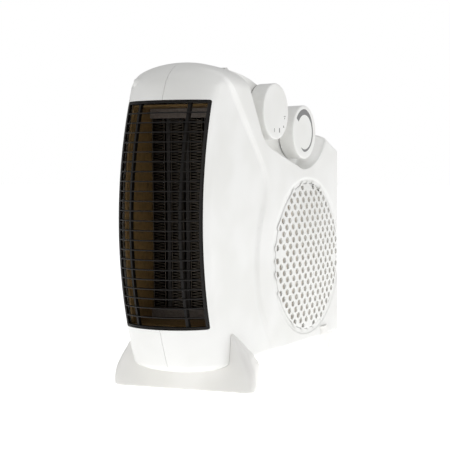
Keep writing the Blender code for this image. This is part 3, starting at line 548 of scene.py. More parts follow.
def reach_level(angles, level, inset):
    """Distance from the inlet's centre, on each ray, where rounding() falls to the level."""
    low, high = np.zeros_like(angles), np.full_like(angles, 0.3)
    for _ in range(40):
        mid = (low + high) / 2
        inside = rounding(AXLE.y + np.cos(angles) * mid, AXLE.z + np.sin(angles) * mid, inset) > level
        low, high = np.where(inside, mid, low), np.where(inside, high, mid)
    return low


def ray_angles(count):
    """Ray angles spaced evenly along the outline, closer together at its corners."""
    fine = np.arange(1440) * TAU / 1440
    r = reach_level(fine, 0.5, 0.0)
    y, z = AXLE.y + r * np.cos(fine), AXLE.z + r * np.sin(fine)
    dy, dz = np.roll(y, -1) - y, np.roll(z, -1) - z
    heading = np.arctan2(dz, dy)
    turn = np.abs((heading - np.roll(heading, 1) + math.pi) % TAU - math.pi)
    run = np.concatenate(([0], np.cumsum(np.hypot(dy, dz) + turn * 45 * MM)))
    goals = run[-1] * np.arange(count) / count
    return np.interp(goals, run, np.append(fine, TAU))


RAYS = ray_angles(340)
ROUND_LEVELS = np.sin(np.linspace(0, math.pi / 2 * 0.96, 14))


def body_grid(side, inset, hole, rings, ring=False, outset=0.0):
    """Grid of points on one side of the body: rays from the inlet's centre, edge to hole."""
    columns = [reach_level(RAYS, level, inset - outset) for level in ROUND_LEVELS]
    outer = columns[-1]
    inner = hole * np.hypot(np.cos(RAYS) * OUT.x, np.sin(RAYS)) if hole else np.zeros_like(RAYS)
    for share in np.linspace(0, 1, rings + 1)[1:]:
        columns.append(outer + (inner - outer) * share)
    r = np.stack(columns, axis=1)
    y = AXLE.y + r * np.cos(RAYS)[:, None]
    z = AXLE.z + r * np.sin(RAYS)[:, None]
    x = half_x(y, z, inset - outset, ring)
    x[:, 0] = 0
    x = np.maximum(x, SEAM / 2) if outset == 0 else x
    return np.stack([side * x, y, z], axis=2)


def body_blank(name, outset):
    """The whole body as one closed shape, a little larger, to fit pieces against."""
    left = body_grid(-1, 0.0, 0.0, 12, outset=outset)
    right = body_grid(1, 0.0, 0.0, 12, outset=outset)
    return walled(name, right, left, WHITE, wrap=True, merge=1e-5)


def front_at(x, z, sunk=0.0):
    """Front surface of the body at x and z, sunk toward the rear."""
    edge = side_x(front_y(z) + ROUND["front"])
    share = np.minimum(np.abs(x) / edge, 0.99)
    return front_y(z) + ROUND["front"] * (1 - np.sqrt(1 - share ** 2)) + sunk


def on_side(ahead, z, depth=0.0):
    """Point in the raised panel's plane, ahead of the inlet's centre, sunk by depth."""
    base = Vector((side_x(AXLE.y) + PANEL_RISE, AXLE.y, z))
    return base - ALONG * (ahead / OUT.x) - OUT * depth


# ---- knob pocket -----------------------------------------------------------------------------
def pocket_outline(grow, steps=26):
    """Pocket edge in the panel's plane as (ahead, z): front line, two knob arcs, rear line."""
    rim = KNOB_RADIUS + POCKET_MARGIN + grow
    ahead1, z1 = AXLE.y - POWER.y, POWER.z
    ahead2, z2 = AXLE.y - THERMO.y, THERMO.z
    tilt = math.atan2(z1 - z2, ahead1 - ahead2)
    points = []
    for a in np.linspace(math.radians(210), 1.5 * math.pi - tilt, steps):
        points.append((ahead1 - rim * math.cos(a), z1 + rim * math.sin(a)))
    above = [(points[0][0] + lift * math.tan(math.radians(30)), points[0][1] + lift)
             for lift in np.linspace(55, 2.2, 25) * MM]
    bridge = []
    for a in np.linspace(1.5 * math.pi - tilt, TAU, 2 * steps):
        widen = 1 + (POCKET_DISH - 1) * max(0.0, math.cos(a)) ** 1.3
        bridge.append((ahead2 - rim * widen * math.cos(a), z2 + rim * math.sin(a)))
    gap = [(points[-1][0] + (bridge[0][0] - points[-1][0]) * t,
            points[-1][1] + (bridge[0][1] - points[-1][1]) * t) for t in np.linspace(0, 1, 14)[1:-1]]
    tail = [(bridge[-1][0] - lift * 0.22, bridge[-1][1] + lift)
            for lift in np.linspace(2.2, 40, 18) * MM]
    return np.array(above + points + gap + bridge + tail)


def inward_normals(line):
    """Unit normals of an open line of (ahead, z) points, pointing into the pocket."""
    step = np.gradient(line, axis=0)
    step /= np.linalg.norm(step, axis=1)[:, None]
    normals = np.stack([-step[:, 1], step[:, 0]], axis=1)
    middle = np.array([AXLE.y - (POWER.y + THERMO.y) / 2, HEIGHT])
    facing = np.einsum("ij,ij->i", normals, middle - line)
    return normals * (1 if facing.mean() > 0 else -1)


def panel_x(ahead, depth):
    """x of the plane parallel to the panel, sunk by depth, for points given by y."""
    y = AXLE.y - ahead
    return side_x(y) + PANEL_RISE - depth / OUT.x


POCKET_FILLET, FLOOR_FILLET, DISH_SOFTNESS = 0.9 * MM, 2.6 * MM, 9 * MM
POCKET_DRAFT = 0.4 * MM                          # lean of the pocket's wall, rim to floor


def build_pocket():
    """Lining of the knob pocket: rolled rim, wall, rounded foot and a flat floor up to the roof."""
    line = pocket_outline(0.0)
    normals = inward_normals(line)
    soft = ease((THERMO.y + 8 * MM - (AXLE.y - line[:, 0])) / (-26 * MM))
    soft = soft * (line[:, 1] < THERMO.z + 12 * MM)
    rows = []
    for a in np.linspace(0, math.pi / 2, 6):
        rows.append((-POCKET_FILLET * (1 - math.sin(a)), POCKET_FILLET * (1 - math.cos(a)), 0.0))
    for share in np.linspace(0.2, 0.8, 4):
        rows.append((POCKET_DRAFT * share, 0.0, share))
    for a in np.linspace(0, math.pi / 2, 7):
        rows.append((POCKET_DRAFT + FLOOR_FILLET * (1 - math.cos(a)), -FLOOR_FILLET * (1 - math.sin(a)),
                     1.0))
    edge = line - normals * POCKET_FILLET
    edge_x = half_x(AXLE.y - edge[:, 0], edge[:, 1])
    start = edge_x - POCKET_FILLET / OUT.x
    top = half_x(AXLE.y - line[:, 0], line[:, 1])
    grid = []
    for offset, down, share in rows:
        inwards = offset + soft * (DISH_SOFTNESS * share)
        spot = line + normals * inwards[:, None]
        ground = np.minimum(panel_x(spot[:, 0], POCKET_DEPTH), top)
        if share == 0:
            x = np.maximum(edge_x - down / OUT.x, ground)
        else:
            wall = start + (ground + FLOOR_FILLET - start) * share
            x = np.minimum(wall if share < 1 else ground - down, np.maximum(start, ground))
        grid.append(np.stack([x, AXLE.y - spot[:, 0], spot[:, 1]], axis=1))
    last = grid[-1]
    roof = roof_line(last[:, 1])
    for share in np.linspace(0, 1, 12)[1:]:
        z = last[:, 2] + (np.maximum(roof, last[:, 2]) - last[:, 2]) * share
        y = last[:, 1]
        x = np.minimum(panel_x(AXLE.y - y, POCKET_DEPTH), half_x(y, z))
        grid.append(np.stack([x, y, z], axis=1))
    outer = np.stack(grid, axis=1)
    keep = line[:, 1] < roof_line(AXLE.y - line[:, 0]) + 1.5 * MM
    outer = outer[keep]
    inner = outer.copy()
    inner[:, :, 0] -= 1.6 * MM
    inner[:, :6, 0] -= 1.2 * MM
    return walled("knob_pocket", outer, inner, WHITE, smooth_angle=40)


def roof_line(y):
    """Height at which the pocket's floor plane meets the rounded roof."""
    low, high = np.full_like(y, 150 * MM), roof_z(y)
    floor = panel_x(AXLE.y - y, POCKET_DEPTH)
    for _ in range(40):
        mid = (low + high) / 2
        inside = half_x(y, mid) > floor
        low, high = np.where(inside, mid, low), np.where(inside, high, mid)
    return low


def pocket_cutter():
    outline = [tuple(p) for p in pocket_outline(POCKET_FILLET)]
    bm = prism(outline, POCKET_DEPTH + 0.06 * MM, -14 * MM, on_side)
    return object_of("pocket_cutter", bm, WHITE)


# ---- housing ---------------------------------------------------------------------------------
SCREW_SPOTS = [sum(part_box(f"housing_screw_{n}"), Vector()) / 2 for n in (1, 2, 3, 4)]
SCREW_WELL, WELL_WALL, WELL_START = 3.2 * MM, 1 * MM, 14 * MM
VENT_COUNT, VENT_PITCH, VENT_HEIGHT, VENT_HALF = 9, 9 * MM, 3 * MM, 33 * MM


def outlet_cutter():
    outline = rounded_rectangle(-OUTLET_HALF, OUTLET_LOW, OUTLET_HALF, OUTLET_HIGH, 1.5 * MM)
    bm = prism(outline, FRONT_Y - 20 * MM, FRONT_Y + 78 * MM, lambda u, v, w: (u, w, v))
    return object_of("outlet_cutter", bm, WHITE)


def cord_cutter():
    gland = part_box("cord_gland")
    z = (gland[0].z + gland[1].z) / 2
    bm = prism(circle(5.2 * MM, 40), REAR_Y - 12 * MM, REAR_Y + 12 * MM, lambda u, v, w: (u, w, z + v))
    return object_of("cord_cutter", bm, WHITE)


def shaft_cutter(number, face):
    bm = prism(circle(3.5 * MM, 32), -30 * MM, 5 * MM,
               lambda u, v, w: face + ALONG * u + UP * v + OUT * w)
    return object_of(f"shaft_cutter_{number}", bm, WHITE)


def vent_cutters():
    """Round-ended slots in the left side, shorter toward the top and bottom of the field."""
    made = []
    for number in range(VENT_COUNT):
        z = AXLE.z + (number - (VENT_COUNT - 1) / 2) * VENT_PITCH
        half = VENT_HALF * math.sqrt(max(0.2, 1 - ((z - AXLE.z) / (VENT_HALF * 1.35)) ** 2))
        outline = rounded_rectangle(AXLE.y - half, z - VENT_HEIGHT / 2, AXLE.y + half,
                                    z + VENT_HEIGHT / 2, VENT_HEIGHT * 0.49)
        bm = prism(outline, -90 * MM, -30 * MM, lambda u, v, w: (w, u, v))
        made.append(object_of(f"vent_cutter_{number}", bm, WHITE))
    return made


def well_cutters():
    made = []
    for number, spot in enumerate(SCREW_SPOTS):
        bm = prism(circle(SCREW_WELL, 32), -90 * MM, -WELL_START,
                   lambda u, v, w, s=spot: (w, s.y + u, s.z + v))
        made.append(object_of(f"well_cutter_{number}", bm, WHITE))
    return made


def well_tubes():
    """Wall of each screw well, from the head back to the inside of the left shell."""
    made = []
    for number, spot in enumerate(SCREW_SPOTS, 1):
        reach = float(half_x(np.array(spot.y), np.array(spot.z), WALL * 0.6))
        outer = SCREW_WELL + WELL_WALL
        profile = [(SCREW_WELL, WELL_START), (outer, WELL_START), (outer, reach), (SCREW_WELL, reach),
                   (SCREW_WELL, WELL_START)]
        made.append(turned(f"screw_well_{number}", profile, WHITE, (0, spot.y, spot.z), (-1, 0, 0), 32))
    return made


def build_housing():
    right = walled("right_shell_skin", body_grid(1, 0.0, INLET_RADIUS + 0.35 * MM, 62, ring=True),
                   body_grid(1, WALL, INLET_RADIUS + 0.35 * MM, 62), WHITE, wrap=True)
    carve(right, [outlet_cutter(), cord_cutter(), pocket_cutter()])
    pocket = build_pocket()
    carve(pocket, [shaft_cutter(1, POWER), shaft_cutter(2, THERMO)], 40)
    left = walled("left_shell_skin", body_grid(-1, 0.0, 0.0, 70), body_grid(-1, WALL, 0.0, 70), WHITE,
                  wrap=True, merge=1e-5)
    carve(left, [outlet_cutter(), cord_cutter(), *vent_cutters(), *well_cutters()])
    placed(right, "housing", "right_shell")
    placed(left, "housing", "left_shell")
    for piece in (pocket, *well_tubes()):
        placed(piece, "housing")


# ---- inlet grille ----------------------------------------------------------------------------
def tree_input(tree, name, kind, value=None):
    made = tree.interface.new_socket(name=name, in_out="INPUT", socket_type=kind)
    if value is not None:
        made.default_value = value


def run_tree(name, tree, source, values):
    """Plain mesh made by a node tree from a source mesh and its named input values."""
    ob = linked(name, source)
    mod = ob.modifiers.new("make", "NODES")
    mod.node_group = tree
    names = {item.name: item.identifier for item in tree.interface.items_tree
             if item.in_out == "INPUT"}
    for key, value in values.items():
        mod[names[key]] = value
    plain_result(ob)
    return ob


def hole_field_tree():
    """Tiles set on a square lattice turned by 45 degrees, inside a round field."""
    tree = bpy.data.node_groups.new("hole_field", "GeometryNodeTree")
    tree_input(tree, "Tile", "NodeSocketGeometry")
    tree_input(tree, "Step", "NodeSocketFloat", HOLE_STEP)
    tree_input(tree, "Rows", "NodeSocketInt", HOLE_ROWS)
    tree_input(tree, "Look", "NodeSocketMaterial")
    tree.interface.new_socket(name="Mesh", in_out="OUTPUT", socket_type="NodeSocketGeometry")
    given = add(tree, "NodeGroupInput").outputs
    width = computed(tree, "MULTIPLY", computed(tree, "MULTIPLY", given["Step"], given["Rows"]), 2)
    count = computed(tree, "MULTIPLY_ADD", given["Rows"], 2, 1)
    grid = add(tree, "GeometryNodeMeshGrid", {"Size X": width, "Size Y": width, "Vertices X": count,
                                              "Vertices Y": count})
    place = add(tree, "GeometryNodeInputPosition").outputs[0]
    inverse = computed(tree, "DIVIDE", 1, given["Step"])
    steps = add(tree, "ShaderNodeVectorMath", {0: place, 3: inverse}, operation="SCALE").outputs[0]
    split = add(tree, "ShaderNodeSeparateXYZ", {0: steps}).outputs
    whole = computed(tree, "ROUND", computed(tree, "ADD", split[0], split[1]))
    odd = computed(tree, "FLOORED_MODULO", whole, 2)
    blank = computed(tree, "LESS_THAN", odd, 0.5, kind="FunctionNodeCompare", data_type="FLOAT")
    away = add(tree, "ShaderNodeVectorMath", {0: steps}, operation="LENGTH").outputs["Value"]
    outside = computed(tree, "GREATER_THAN", away, HOLE_ROWS + 0.2, kind="FunctionNodeCompare",
                       data_type="FLOAT")
    drop = computed(tree, "OR", blank, outside, kind="FunctionNodeBooleanMath")
    points = add(tree, "GeometryNodeMeshToPoints", {"Mesh": grid.outputs["Mesh"]})
    kept = add(tree, "GeometryNodeDeleteGeometry", {"Geometry": points.outputs[0],
                                                    "Selection": drop})
    copies = add(tree, "GeometryNodeInstanceOnPoints", {"Points": kept.outputs[0],
                                                        "Instance": given["Tile"]})
    real = add(tree, "GeometryNodeRealizeInstances", {"Geometry": copies.outputs[0]})
    weld = add(tree, "GeometryNodeMergeByDistance", {"Geometry": real.outputs[0]}, Distance=0.02 * MM)
    dress = add(tree, "GeometryNodeSetMaterial", {"Geometry": weld.outputs[0], "Material": given["Look"]})
    add(tree, "NodeGroupOutput", {"Mesh": dress.outputs[0]})
    return tree


def hole_tile():
    """Diamond cell of the grille with a round hole, flat, one hole step from centre to corner."""
    sides, rings = 24, 2
    bm = bmesh.new()
    loops = []
    for ring in range(rings + 1):
        loop = []
        for i in range(sides):
            a = TAU * i / sides
            reach = HOLE_STEP / (abs(math.cos(a)) + abs(math.sin(a)))
            r = HOLE_RADIUS + (reach - HOLE_RADIUS) * ring / rings
            loop.append(bm.verts.new((r * math.cos(a), r * math.sin(a), 0)))
        loops.append(loop)
    for ring in range(rings):
        for i in range(sides):
            a, b = loops[ring], loops[ring + 1]
            bm.faces.new([a[i - 1], b[i - 1], b[i], a[i]])
    return plain_mesh("hole_tile", bm)


def dome(u, v):
    ball = (INLET_RADIUS ** 2 + INLET_DOME ** 2) / (2 * INLET_DOME)
    return math.sqrt(ball ** 2 - min(u * u + v * v, INLET_RADIUS ** 2)) - ball + INLET_DOME


RIM_ROLL, RIM_SIDES = 0.8 * MM, 144
BLIND_HOLES = ((0, 11), (0, -11), (-10, 1), (10, -1))    # left closed in the moulding, as (col, row)


def hole_distance(edge):
    """Distance from an edge's middle to the nearest hole centre."""
    middle = (edge.verts[0].co + edge.verts[1].co) / 2
    col, row = round(middle.x / HOLE_STEP), round(middle.y / HOLE_STEP)
    return min(math.hypot(middle.x - (col + a) * HOLE_STEP, middle.y - (row + b) * HOLE_STEP)
               for a in (-1, 0, 1) for b in (-1, 0, 1) if (col + a + row + b) % 2)


def build_inlet_grille():
    """Domed disc: the hole field welded into a plain rim, then given its dome and thickness."""
    field = run_tree("inlet_grille_skin", hole_field_tree(), hole_tile(),
                     {"Step": HOLE_STEP, "Rows": HOLE_ROWS, "Look": WHITE})
    bm = bmesh.new()
    bm.from_mesh(field.data)
    bpy.data.objects.remove(field)
    for col, row in BLIND_HOLES:
        centre = Vector((col * HOLE_STEP, row * HOLE_STEP, 0))
        rim = [e for e in bm.edges if e.is_boundary
               and all((v.co - centre).length < HOLE_RADIUS * 1.02 for v in e.verts)]
        bmesh.ops.contextual_create(bm, geom=rim)
    outer = [e for e in bm.edges if e.is_boundary and hole_distance(e) > HOLE_RADIUS * 1.05]
    rim = [bm.verts.new((u, v, 0)) for u, v in circle(INLET_RADIUS - RIM_ROLL, RIM_SIDES)]
    loop = [bm.edges.new((rim[i - 1], rim[i])) for i in range(RIM_SIDES)]
    bmesh.ops.triangle_fill(bm, use_beauty=True, use_dissolve=False, edges=outer + loop)
    rolled = rim
    for a in (30, 60, 90):
        angle = math.radians(a)
        r = INLET_RADIUS - RIM_ROLL * (1 - math.sin(angle))
        drop = -RIM_ROLL * (1 - math.cos(angle))
        ring = [bm.verts.new((r * v.co.x / math.hypot(v.co.x, v.co.y),
                              r * v.co.y / math.hypot(v.co.x, v.co.y), drop)) for v in rim]
        for i in range(RIM_SIDES):
            bm.faces.new([rolled[i - 1], rolled[i], ring[i], ring[i - 1]])
        rolled = ring
    bmesh.ops.recalc_face_normals(bm, faces=bm.faces)
    if sum(f.normal.z for f in bm.faces) < 0:
        bmesh.ops.reverse_faces(bm, faces=bm.faces)
    top = list(bm.faces)
    copy = bmesh.ops.duplicate(bm, geom=list(bm.verts) + list(bm.edges) + top)
    pairs = dict(copy["vert_map"].items())
    twins = [f for f in copy["geom"] if isinstance(f, bmesh.types.BMFace)]
    bmesh.ops.reverse_faces(bm, faces=twins)
    low = {v for f in twins for v in f.verts}
    for v in low:
        v.co.z = min(v.co.z, 0) - (1.6 * MM if v.co.z > -0.1 * MM else 1.0 * MM)
    for e in [e for e in bm.edges if e.is_boundary and e.verts[0] not in low]:
        a, b = e.verts
        if a in pairs and b in pairs:
            bm.faces.new([a, b, pairs[b], pairs[a]])
    turn = Matrix((ALONG, UP, OUT)).transposed().to_4x4()
    centre = on_side(0, AXLE.z)
    for v in bm.verts:
        v.co.z += dome(v.co.x, v.co.y)
    bmesh.ops.transform(bm, matrix=Matrix.Translation(centre) @ turn, verts=bm.verts)
    grille = object_of("inlet_grille_skin", bm, WHITE, 40)
    placed(grille, "housing", "inlet_grille")
    reach, thick = INLET_RADIUS - 1.5 * MM, 0.9 * MM
    felt = turned("dust_filter", [(0, 0), (reach, 0), (reach, -thick), (0, -thick)], FELT,
                  centre - OUT * 3.2 * MM, OUT, 64)
    placed(felt, "housing")


# ---- outlet grille and what repeats in it ----------------------------------------------------
def row_tree():
    """Copies of one item in a straight row."""
    tree = bpy.data.node_groups.new("row_of_copies", "GeometryNodeTree")
    tree_input(tree, "Item", "NodeSocketGeometry")
    tree_input(tree, "Count", "NodeSocketInt", 2)
    tree_input(tree, "Start", "NodeSocketVector")
    tree_input(tree, "Step", "NodeSocketVector")
    tree_input(tree, "Look", "NodeSocketMaterial")
    tree.interface.new_socket(name="Mesh", in_out="OUTPUT", socket_type="NodeSocketGeometry")
    given = add(tree, "NodeGroupInput").outputs
    line = add(tree, "GeometryNodeMeshLine", {"Count": given["Count"], "Start Location": given["Start"],
                                              "Offset": given["Step"]})
    copies = add(tree, "GeometryNodeInstanceOnPoints", {"Points": line.outputs[0],
                                                        "Instance": given["Item"]})
    real = add(tree, "GeometryNodeRealizeInstances", {"Geometry": copies.outputs[0]})
    dress = add(tree, "GeometryNodeSetMaterial", {"Geometry": real.outputs[0], "Material": given["Look"]})
    add(tree, "NodeGroupOutput", {"Mesh": dress.outputs[0]})
    return tree


ROW = row_tree()


def row_of(name, item, count, start, step, look):
    """Plain mesh object: count copies of an item mesh, from start, one step apart."""
    return run_tree(name, ROW, item, {"Count": count, "Start": start, "Step": step, "Look": look})


def bar_mesh(name, half_length, height, depth, pieces, chamfer):
    """Straight bar along X with chamfered long edges, centred, its front face at y = 0."""
    h, c = height / 2, chamfer
    section = [(c, -h), (depth - c, -h), (depth, -h + c), (depth, h - c), (depth - c, h), (c, h),
               (0, h - c), (0, -h + c)]
    bm = bmesh.new()
    rings = [[bm.verts.new((x, y, z)) for y, z in section]
             for x in np.linspace(-half_length, half_length, pieces + 1)]
    for p, q in zip(rings, rings[1:]):
        for k in range(len(section)):
            bm.faces.new([p[k - 1], p[k], q[k], q[k - 1]])
    bm.faces.new(rings[0])
    bm.faces.new(rings[-1][::-1])
    bmesh.ops.recalc_face_normals(bm, faces=bm.faces)
    return plain_mesh(name, bm)


def bow(ob, sunk):
    """Moves straight work back onto the bowed front of the body."""
    for v in ob.data.vertices:
        v.co.y += float(front_at(v.co.x, v.co.z, sunk))
    return ob


def build_outlet_grille():
    """Thin bowed bars in a frame, with two upright ribs behind them."""
    half = OUTLET_HALF - 0.5 * MM
    low, high = OUTLET_LOW + 2.1 * MM, OUTLET_HIGH - 2.1 * MM
    pitch = (high - low) / (BAR_COUNT + 1)
    bar = bar_mesh("bar", half - 1 * MM, BAR_HEIGHT, BAR_DEPTH, 36, BAR_CHAMFER)
    bars = row_of("outlet_bars", bar, BAR_COUNT, (0, 0, low + pitch), (0, 0, pitch), BLACK)
    shade(bow(bars, 1.25 * MM), 40)
    ribs = []
    edge_x = half - EDGE_WIDTH / 2
    for name, x, width, front, depth in (
            ("outlet_rib_left", -RIB_X, RIB_WIDTH, 2.2 * MM, 4.2 * MM),
            ("outlet_rib_right", RIB_X, RIB_WIDTH, 2.2 * MM, 4.2 * MM),
            ("outlet_edge_left", -edge_x, EDGE_WIDTH, EDGE_SUNK, EDGE_DEPTH),
            ("outlet_edge_right", edge_x, EDGE_WIDTH, EDGE_SUNK, EDGE_DEPTH)):
        z = np.linspace(low - EDGE_WIDTH, high + EDGE_WIDTH, 90)
        xs = np.array([x - width / 2, x + width / 2])
        grids = [np.array([[(a, float(front_at(a, c, s)), c) for a in xs] for c in z])
                 for s in (front, front + depth)]
        ribs.append(walled(name, grids[0], grids[1], BLACK, smooth_angle=40))
    for name, z in (("outlet_edge_bottom", low - EDGE_WIDTH / 2),
                    ("outlet_edge_top", high + EDGE_WIDTH / 2)):
        edge = row_of(name, bar_mesh("edge", half, EDGE_WIDTH, EDGE_DEPTH, 36, BAR_CHAMFER), 1, (0, 0, z),
                      (0, 0, 0), BLACK)
        ribs.append(shade(bow(edge, EDGE_SUNK), 40))
    placed(bars, "housing", "outlet_grille")
    for piece in ribs:
        placed(piece, "housing")


# ---- heating element -------------------------------------------------------------------------
FOIL_PITCH, FOIL_THICK = 2.1 * MM, 0.3 * MM      # foil is drawn thicker than real so that it shows
STRIP_THICK, STRIP_LIP = 0.7 * MM, 0.3 * MM


def fold_mesh(width, depth):
    """One fold of corrugated foil: two slanting leaves that meet at the right edge."""
    bm = bmesh.new()
    rise = FOIL_PITCH / 2
    zigzag = [(-width / 2, 0.0), (width / 2, rise), (-width / 2, 2 * rise)]
    for (x0, z0), (x1, z1) in zip(zigzag, zigzag[1:]):
        corners = [[bm.verts.new((x, y, z + t)) for y in (0, depth) for t in (0, FOIL_THICK)]
                   for x, z in ((x0, z0), (x1, z1))]
        a, b = corners
        for loop in ((a[0], a[1], a[3], a[2]), (b[0], b[2], b[3], b[1]), (a[0], b[0], b[1], a[1]),
                     (a[2], a[3], b[3], b[2]), (a[1], b[1], b[3], a[3]), (a[0], a[2], b[2], b[0])):
            bm.faces.new(loop)
    bmesh.ops.recalc_face_normals(bm, faces=bm.faces)
    return plain_mesh("foil_fold", bm)


def build_element():
    """Foil corrugations between flat strips, in place of the coarse columns of the frame."""
    for number in (1, 2, 3, 4):
        low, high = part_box(f"fin_column_{number}")
        width, depth = high.x - low.x - 1.6 * MM, high.y - low.y
        count = int((high.z - low.z - FOIL_THICK) / FOIL_PITCH)
        foil = row_of(f"corrugated_foil_{number}", fold_mesh(width, depth), count,
                      ((low.x + high.x) / 2, low.y, low.z), (0, 0, FOIL_PITCH), FOIL)
        placed(foil, "housing", f"fin_column_{number}")
        for side, x in (("left", low.x), ("right", high.x - STRIP_THICK)):
            outline = rounded_rectangle(x, low.y - STRIP_LIP, x + STRIP_THICK, high.y + STRIP_LIP,
                                        0.3 * MM, 3)
            strip = object_of(f"foil_strip_{number}_{side}",
                              prism(outline, low.z, high.z, lambda u, v, w: (u, v, w)), FOIL, 40)
            placed(strip, "housing")


# ---- knobs -----------------------------------------------------------------------------------
def build_knob(name, node, body, face):
    """Hollow drum with a rolled face edge, a shallow face and a hub for its shaft."""
    r, roll, skin = KNOB_RADIUS, 1.1 * MM, 2 * MM
    profile = [(0.0, 0.0)]
    for reach in (0.3, 0.6, 0.85):
        profile.append(((r - roll) * reach, 0.0))
    for a in np.linspace(0, math.pi / 2, 7):
        profile.append((r - roll + roll * math.sin(a), -roll + roll * math.cos(a)))
    draft = 0.25 * MM
    profile += [(r - draft * 0.5, -KNOB_DEPTH * 0.5), (r - draft, -KNOB_DEPTH + 0.4 * MM),
                (r - draft - 0.4 * MM, -KNOB_DEPTH), (r - 2 * MM, -KNOB_DEPTH), (r - 2.1 * MM, -skin),
                (5.5 * MM, -skin), (5.5 * MM, -KNOB_DEPTH), (2.55 * MM, -KNOB_DEPTH), (2.55 * MM, -skin),
                (0.0, -skin)]
    knob = turned(name, profile, WHITE, face, OUT, 128)
    placed(knob, body, node)


def mark(name, body, face, inner, outer, look):
    """Thin printed mark on a knob's face, between two lines of (rearward, up) points."""
    lift = 0.05 * MM

    def grid(height):
        return np.array([[face + ALONG * u + UP * v + OUT * height for u, v in (p, q)]
                         for p, q in zip(inner, outer)])

    made = walled(name, grid(lift), grid(-lift), look, smooth_angle=40, merge=1e-6)
    placed(made, body)


def polar(radius, degrees):
    a = math.radians(degrees)
    return radius * math.cos(a), radius * math.sin(a)


def build_marks():
    """Thermostat's growing ring, and the power knob's four settings."""
    angles = np.linspace(144, -117, 72)
    thick = np.interp(-angles, [-144, -85, -20, 60, 95, 117], [4.7, 4.5, 1.9, 1.7, 2.0, 0.5]) * MM
    inner = [polar(13.9 * MM, a) for a in angles]
    outer = [polar(13.9 * MM + t, a) for a, t in zip(angles, thick)]
    mark("thermostat_scale", "thermostat_control", THERMO, inner, outer, INK)
    hub_u, hub_v = polar(15 * MM, -15.6)
    for number, turn in enumerate((20, 140, 260), 1):
        near, far = [], []
        for t in np.linspace(0, 1, 9):
            sweep = 34 * math.sin(math.pi * t) + 4
            reach = (0.25 + 1.35 * t) * MM
            for line, angle in ((near, turn - sweep * 0.3), (far, turn + sweep)):
                u, v = polar(reach, angle)
                line.append((hub_u + u, hub_v + v))
        mark(f"fan_mark_blade_{number}", "power_control", POWER, near, far, DARK_INK)
    u, v = polar(16.9 * MM, -42)
    mark("level_mark_one", "power_control", POWER, [(u - 0.8 * MM, v - 0.8 * MM), (u, v + 0.9 * MM)],
         [(u + 0.8 * MM, v - 0.8 * MM), (u + 0.1 * MM, v + 0.9 * MM)], DARK_INK)
    for name, degrees, radius, length, width, look in (
            ("level_mark_two", -70, 15.3 * MM, 3.4 * MM, 1.1 * MM, DARK_INK),
            ("level_mark_off", -103, 14.8 * MM, 2.9 * MM, 0.7 * MM, INK)):
        u, v = polar(radius, degrees)
        sides = [[(u + side * width / 2, v - length / 2), (u + side * width / 2, v + length / 2)]
                 for side in (-1, 1)]
        mark(name, "power_control", POWER, *sides, look)


# ---- feet ------------------------------------------------------------------------------------
def foot_grid(levels, rings, corner, narrow):
    """Points of a flared foot: smooth levels from the floor up, each a rounded rectangle.

    A level is (height share, half width, front, rear); narrow is how much the foot draws in rearward.
    """
    keys = np.array(levels)
    heights = np.linspace(0, 1, rings) ** 0.9
    smooth = [np.interp(heights, keys[:, 0], keys[:, k]) for k in (1, 2, 3)]
    for _ in range(3):
        smooth = [np.concatenate(([s[0]], (s[:-2] + 2 * s[1:-1] + s[2:]) / 4, [s[-1]])) for s in smooth]
    grid = []
    for h, half, front, rear in zip(heights, *smooth):
        radius = min(corner, (rear - front) * 0.3)
        grid.append([(u * (1 - narrow * (v - levels[0][2]) / (50 * MM)), v, h)
                     for u, v in rounded_rectangle(-half, front, half, rear, radius, 9)])
    return np.array(grid)


def build_foot(name, node, levels, height, corner, narrow):
    grid = foot_grid(levels, 30, corner, narrow)
    grid[:, :, 2] *= height
    edge = 0.8 * MM
    middle = grid[:, :, :2].mean(axis=1, keepdims=True)
    sole = grid[0].copy()
    inward = middle[0] - sole[:, :2]
    sole[:, :2] += inward / np.linalg.norm(inward, axis=1)[:, None] * edge
    grid[0, :, 2] = edge
    bm = bmesh.new()
    rings = [[bm.verts.new(p) for p in row] for row in [sole, *grid]]
    count = len(rings[0])
    for p, q in zip(rings, rings[1:]):
        for i in range(count):
            bm.faces.new([p[i - 1], p[i], q[i], q[i - 1]])
    bm.faces.new(rings[0][::-1])
    bm.faces.new(rings[-1])
    foot = object_of(name, bm, FOOT_WHITE, 35)
    carve(foot, [body_blank("fit", 0.15 * MM)], 35)
    placed(foot, "housing", node)


def build_feet():
    """Level rows are (height, width, front and rear edges), as shares of the foot's own sizes."""
    front, length, wide, tall = FRONT_Y + 49 * MM, 51 * MM, 57.6 * MM, 41 * MM
    levels = [(h, wide * w, front + length * a, front + length * b) for h, w, a, b in (
        (0.0, 0.985, 0.0, 0.84), (0.12, 1.0, 0.01, 0.9), (0.32, 0.985, 0.03, 1.0),
        (0.55, 0.915, 0.06, 0.72), (0.75, 0.83, 0.09, 0.46), (0.9, 0.745, 0.11, 0.3),
        (1.0, 0.68, 0.12, 0.2))]
    build_foot("front_foot_skin", "front_foot", levels, tall, 7 * MM, 0.22)
    rear, length, wide, tall = AXLE.y + 63.5 * MM, 42 * MM, 60 * MM, 27 * MM
    levels = [(h, wide * w, rear - length * a, rear - length * b) for h, w, a, b in (
        (0.0, 0.94, 0.3, 0.02), (0.15, 0.965, 0.42, 0.01), (0.5, 1.0, 0.85, 0.0),
        (0.75, 1.03, 0.98, 0.02), (1.0, 1.045, 1.0, 0.6))]
    build_foot("rear_foot_skin", "rear_foot", levels, tall, 7 * MM, 0.0)


